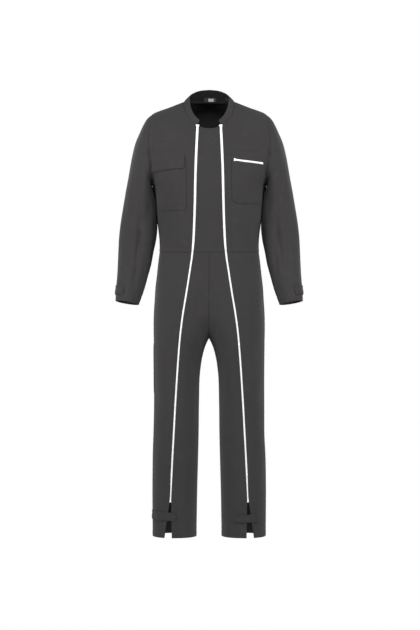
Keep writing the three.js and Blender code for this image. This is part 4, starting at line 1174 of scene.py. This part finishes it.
def makeTape(name, strip, node, step):
    shares = np.linspace(-1, 1, 9)[None, :]
    points, normals = strip(shares, step)
    outer = points + normals * (tape["level"] + tape["crown"] * (1 - shares**2))[..., None]
    inner = points + normals * (tape["level"] - tape["thick"])
    rows, columns = outer.shape[:2]
    faces, rim = wallFaces(rows, columns)
    ends = np.concatenate([[0], np.cumsum(np.linalg.norm(np.diff(points[:, 4], axis=0), axis=-1))])
    uv = np.stack(np.broadcast_arrays(shares * 5, ends[:, None]), -1).reshape(-1, 2)
    sharp = np.zeros(2 * rows * columns, int)
    sharp[rim], sharp[rim + rows * columns] = 1, 2
    both = np.concatenate([outer.reshape(-1, 3), inner.reshape(-1, 3)])
    piece = makeMesh(name, both, faces, np.concatenate([uv, uv]), sharp, slot="zip_tape")
    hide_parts(node)


def toothShape():
    # octagon plan, wide at the head and narrow at the tail, with straight sides and a chamfered top
    r, h, t = tooth["reach"], tooth["half"], tooth["tail"]
    plan = np.array([(-h * 0.7, -t), (h * 0.7, -t), (h * 0.8, 0), (h, r * 0.75),
                     (h * 0.6, r), (-h * 0.6, r), (-h, r * 0.75), (-h * 0.8, 0)])
    rings = [(1, 0), (1, tooth["high"] - 0.4), (0.72, tooth["high"])]
    middle = plan.mean(0)
    points = [(*(middle + (corner - middle) * size), z) for size, z in rings for corner in plan]
    faces = [(8 * k + i, 8 * k + (i + 1) % 8, 8 * k + 8 + (i + 1) % 8, 8 * k + 8 + i)
             for k in range(2) for i in range(8)]
    faces += [(16, 17, 18, 23), (23, 18, 19, 22), (22, 19, 20, 21)]
    faces += [(0, 7, 2, 1), (7, 6, 3, 2), (6, 5, 4, 3)]
    return np.array(points), np.array(faces)


def makeTeeth(name, strip, step, size=1.0, skip=5):
    points, normals = strip(np.zeros((1, 1)), step)
    shape, faces = toothShape()
    pitch = tooth["pitch"] * size
    spot, onwards, across, out = along(points[:, 0], normals[:, 0], pitch, trim=skip)
    hand = np.where(np.arange(len(spot)) % 2, 1.0, -1.0)[:, None]
    spot = spot + out * (tape["level"] + tape["crown"] - 0.1) - across * hand * 0.6 * size
    placed = repeated(shape * size, spot, onwards * hand, across * hand, out)
    quads = faces[None] + (np.arange(len(spot)) * len(shape))[:, None, None]
    piece = makeMesh(name, placed, quads.reshape(-1, 4), slot="zip_tape", finish="zip_teeth")
    piece.data.polygons.foreach_set("use_smooth", np.zeros(len(piece.data.polygons), bool))
    print(f"{name}: {len(spot)} teeth")


for side, word in ((1, "left"), (-1, "right")):
    def mainStrip(shares, step, side=side):
        return zipStrip(side, shares, step)
    makeTape(f"zip_{word}_tape", mainStrip, f"zip_{word}", 4)
    makeTeeth(f"zip_{word}_teeth", mainStrip, 1.5)
makeTape("pocket_zip_tape", pocketStrip, "pocket_zip", 4)
makeTeeth("pocket_zip_teeth", pocketStrip, 1, size=0.85, skip=3)

# Sliders and pulls, in axes of their own: across the zip, up it, and out of the cloth.
slider = dict(length=10.5, topHalf=6, bottomHalf=4.3, corner=1.2, thick=2.2, bridgeHalf=1.1,
              hole=1.15, eye=2.1)
pull = dict(half=2.7, length=21, thick=1.2, bar=1.3, windowHalf=1.45, windowLong=3.6, lean=9, rib=0.35)
hingeHeight = slider["thick"] + 1.7
pocketSliderSize = 0.8


def slab(name, outline, low, high, place, hole=(), bevel=0.3, body="suit", nodes=()):
    # a flat plate of that outline, its hole cut out, from low to high along its own Z, rims bevelled
    loops = [list(loop) for loop in (outline, hole) if len(loop)]
    flat = [corner for loop in loops for corner in loop]
    count = len(flat)
    points = np.array([place @ Vector((x, y, z)) for z in (low, high) for x, y in flat]) * metre
    caps = tessellate_polygon([[Vector((x, y, 0)) for x, y in loop] for loop in loops])
    corners = np.array(flat)
    faces = []
    for a, b, c in caps:
        turned = np.cross(corners[b] - corners[a], corners[c] - corners[a]) > 0
        a, b, c = (a, b, c) if turned else (a, c, b)
        faces += [(c, b, a), (a + count, b + count, c + count)]
    first = 0
    for loop, outside in zip(loops, (True, False)):
        area = sum(x0 * y1 - x1 * y0 for (x0, y0), (x1, y1) in zip(loop, loop[1:] + loop[:1]))
        for i in range(len(loop)):
            a, b = first + i, first + (i + 1) % len(loop)
            quad = (a, b, b + count, a + count)
            faces.append(quad if (area > 0) == outside else quad[::-1])
        first += len(loop)
    mesh = bpy.data.meshes.new(name)
    mesh.from_pydata(points.tolist(), [], faces)
    mesh.polygons.foreach_set("use_smooth", np.ones(len(mesh.polygons), bool))
    mesh.update()
    piece = addPiece(name, mesh, "zip_slider", body)
    rounded = piece.modifiers.new("rounded", "BEVEL")
    rounded.width, rounded.segments, rounded.harden_normals = bevel * metre, 3, True
    rounded.limit_method, rounded.angle_limit = "ANGLE", math.radians(35)
    if nodes:
        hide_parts(*nodes)


def arc(x, y, radius, start, end, steps):
    angles = np.radians(np.linspace(start, end, steps))
    return [(x + radius * math.cos(a), y + radius * math.sin(a)) for a in angles]


def frameOn(point, normal, up, lift):
    # axes across the zip, up it and out of it, at a point lifted off the cloth
    out = Vector(normal).normalized()
    across = Vector(up).cross(out).normalized()
    onwards = out.cross(across)
    turned = Matrix((across, onwards, out)).transposed().to_4x4()
    return Matrix.Translation(Vector(point) + out * (lift + 0.3)) @ turned


def makeSlider(prefix, sliderNode, pullNode, pullBody, place, size=1.0):
    s, p = slider, pull
    half, top, low, corner = s["length"] / 2, s["topHalf"], s["bottomHalf"], s["corner"]
    plate = [(-low, -half), (low, -half), (low + corner / 2, corner - half), (low + 0.9, 0),
             (top, half - corner), (top - corner, half), (2.1, half), (0, half - 1.5), (-2.1, half),
             (corner - top, half), (-top, half - corner), (-low - 0.9, 0),
             (-low - corner / 2, corner - half)]
    place = place @ Matrix.Scale(size, 4)
    slab(f"{prefix}_slider_plate", plate, 0, s["thick"], place, bevel=0.55 * size, nodes=[sliderNode])
    eye, top = s["eye"], hingeHeight - s["thick"]
    upright = Matrix(((0, 0, 1, 0), (1, 0, 0, 0), (0, 1, 0, s["thick"]), (0, 0, 0, 1)))
    arch = [(-eye, -0.5), (eye, -0.5)] + arc(0, top, eye, 0, 180, 13)
    slab(f"{prefix}_slider_bridge", arch, -s["bridgeHalf"], s["bridgeHalf"], place @ upright,
         hole=arc(0, top, s["hole"], 0, 330, 12), bevel=0.25 * size)
    lean = Matrix.Translation((0, 0, hingeHeight)) @ Matrix.Rotation(math.radians(p["lean"]), 4, "X")
    bar, wide = p["bar"] / 2, p["half"]
    outline = [(wide - 0.5, bar), (0.5 - wide, bar), (-wide, bar - 0.5), (-wide + 0.5, -7), (-wide, -11)]
    outline += arc(0, wide - p["length"], wide, 180, 360, 13)
    outline += [(wide, -11), (wide - 0.5, -7), (wide, bar - 0.5)]
    window = [(-p["windowHalf"], -bar), (p["windowHalf"], -bar),
              (p["windowHalf"], -bar - p["windowLong"]), (-p["windowHalf"], -bar - p["windowLong"])]
    slab(f"{prefix}_pull_plate", outline, -p["thick"] / 2, p["thick"] / 2, place @ lean, hole=window,
         bevel=0.28 * size, body=pullBody, nodes=[pullNode])
    for row, y in enumerate((-13, -14.8, -16.6)):
        rib = [(-1.5, y - 0.4), (1.5, y - 0.4), (1.5, y + 0.4), (-1.5, y + 0.4)]
        slab(f"{prefix}_pull_rib_{row + 1}", rib, p["thick"] / 2 - 0.2, p["thick"] / 2 + p["rib"],
             place @ lean, bevel=0.2 * size, body=pullBody)


# Down from the neckline to the middle of a main zip's slider.
sliderDown = 8.5


def mainSliderPlace(side):
    downs = np.array([0, sliderDown, 2 * sliderDown])
    turn = side * torsoFrontTurn(zipLine("middle", torso("frontZ", downs)), downs)
    upper, middle, lower = torsoForm.point(turn, downs)
    return frameOn(middle, torsoForm.normal(turn, downs)[1], upper - lower, 0.8)


def pocketSliderPlace():
    distance = np.array([pocketZip["start"] + 4, pocketZip["start"] + 14.0])
    turn, down = torsoPlace(distance, pocketZipZ(distance))
    here, beyond = torsoForm.point(turn, down)
    return frameOn(here, torsoForm.normal(turn, down)[0], here - beyond, 2.7)


for side, word in ((1, "left"), (-1, "right")):
    makeSlider(f"zip_{word}", f"zip_slider_{word}", f"zip_pull_{word}", f"pull_{word}",
               mainSliderPlace(side))
makeSlider("pocket_zip", "pocket_zip_slider", "pocket_zip_pull", "pull_pocket", pocketSliderPlace(),
           pocketSliderSize)
makeStitches()
print("zips and stitching ready")


# Camera, light and floor.
view = dict(distance=9, eyeZ=-0.426, aimX=0.0028, aimZ=-0.737, focal=148.6)
cameraData = bpy.data.cameras.new("camera")
cameraData.lens, cameraData.sensor_width = view["focal"], 36
camera = bpy.data.objects.new("camera", cameraData)
bpy.context.scene.collection.objects.link(camera)
camera.location = (view["aimX"], -view["distance"], view["eyeZ"])
aim = Vector((view["aimX"], 0, view["aimZ"])) - camera.location
camera.rotation_euler = aim.to_track_quat("-Z", "Y").to_euler()
bpy.context.scene.camera = camera

# A round pale floor, well below the hanging suit.
ground = dict(z=-2.4, radius=3.2, sides=96)
rim = np.arange(ground["sides"]) * 2 * np.pi / ground["sides"]
floorMesh = bpy.data.meshes.new("floor")
disc = stacked(ground["radius"] * np.cos(rim), ground["radius"] * np.sin(rim), ground["z"])
floorMesh.from_pydata(disc.tolist(), [], [list(range(ground["sides"]))])
floor = bpy.data.objects.new("floor", floorMesh)
bpy.context.scene.collection.objects.link(floor)
floorFinish = Finish("pale_floor", Base_Color=(0.95, 0.95, 0.95, 1), Roughness=1, Specular_IOR_Level=0,
                     Emission_Color=(1, 1, 1, 1), Emission_Strength=0.2)
floorMesh.materials.append(floorFinish.material)

# The backdrop shows white, and gives less light than that, so the soft lamps model the folds.
studio = dict(backdrop=1.0, around=0.24)
world = bpy.data.worlds.new("studio")
world.use_nodes = True
skyTree = world.node_tree
around = skyTree.nodes["Background"]
backdrop = skyTree.nodes.new("ShaderNodeBackground")
for background, strength in ((around, studio["around"]), (backdrop, studio["backdrop"])):
    background.inputs["Color"].default_value = (1, 1, 1, 1)
    background.inputs["Strength"].default_value = strength
seen = skyTree.nodes.new("ShaderNodeLightPath")
chosen = skyTree.nodes.new("ShaderNodeMixShader")
skyTree.links.new(seen.outputs["Is Camera Ray"], chosen.inputs[0])
skyTree.links.new(around.outputs[0], chosen.inputs[1])
skyTree.links.new(backdrop.outputs[0], chosen.inputs[2])
skyTree.links.new(chosen.outputs[0], skyTree.nodes["World Output"].inputs["Surface"])
bpy.context.scene.world = world


def softLight(name, place, target, wide, tall, power):
    lamp = bpy.data.lights.new(name, "AREA")
    lamp.shape, lamp.size, lamp.size_y, lamp.energy = "RECTANGLE", wide, tall, power
    light = bpy.data.objects.new(name, lamp)
    bpy.context.scene.collection.objects.link(light)
    light.location = place
    light.rotation_euler = (Vector(target) - Vector(place)).to_track_quat("-Z", "Y").to_euler()
    light.visible_camera = False


# Two tall soft boxes close to the sides keep the inner halves of sleeves and legs darker.
softLight("key", (-1.3, -0.95, -0.3), (0, 0, -0.45), 0.5, 2.6, 30)
softLight("fill", (1.3, -0.95, -0.3), (0, 0, -0.45), 0.5, 2.6, 28)
softLight("top", (0, -1.9, 2.1), (0, 0, -0.4), 1.2, 0.8, 54)
softLight("rear_left", (1.3, 1.7, 0.3), (0, 0, -0.6), 0.8, 2.2, 20)
softLight("rear_right", (-1.3, 1.7, 0.3), (0, 0, -0.6), 0.8, 2.2, 22)
bpy.context.scene.view_settings.view_transform = "Standard"
bpy.context.scene.view_settings.look = "None"
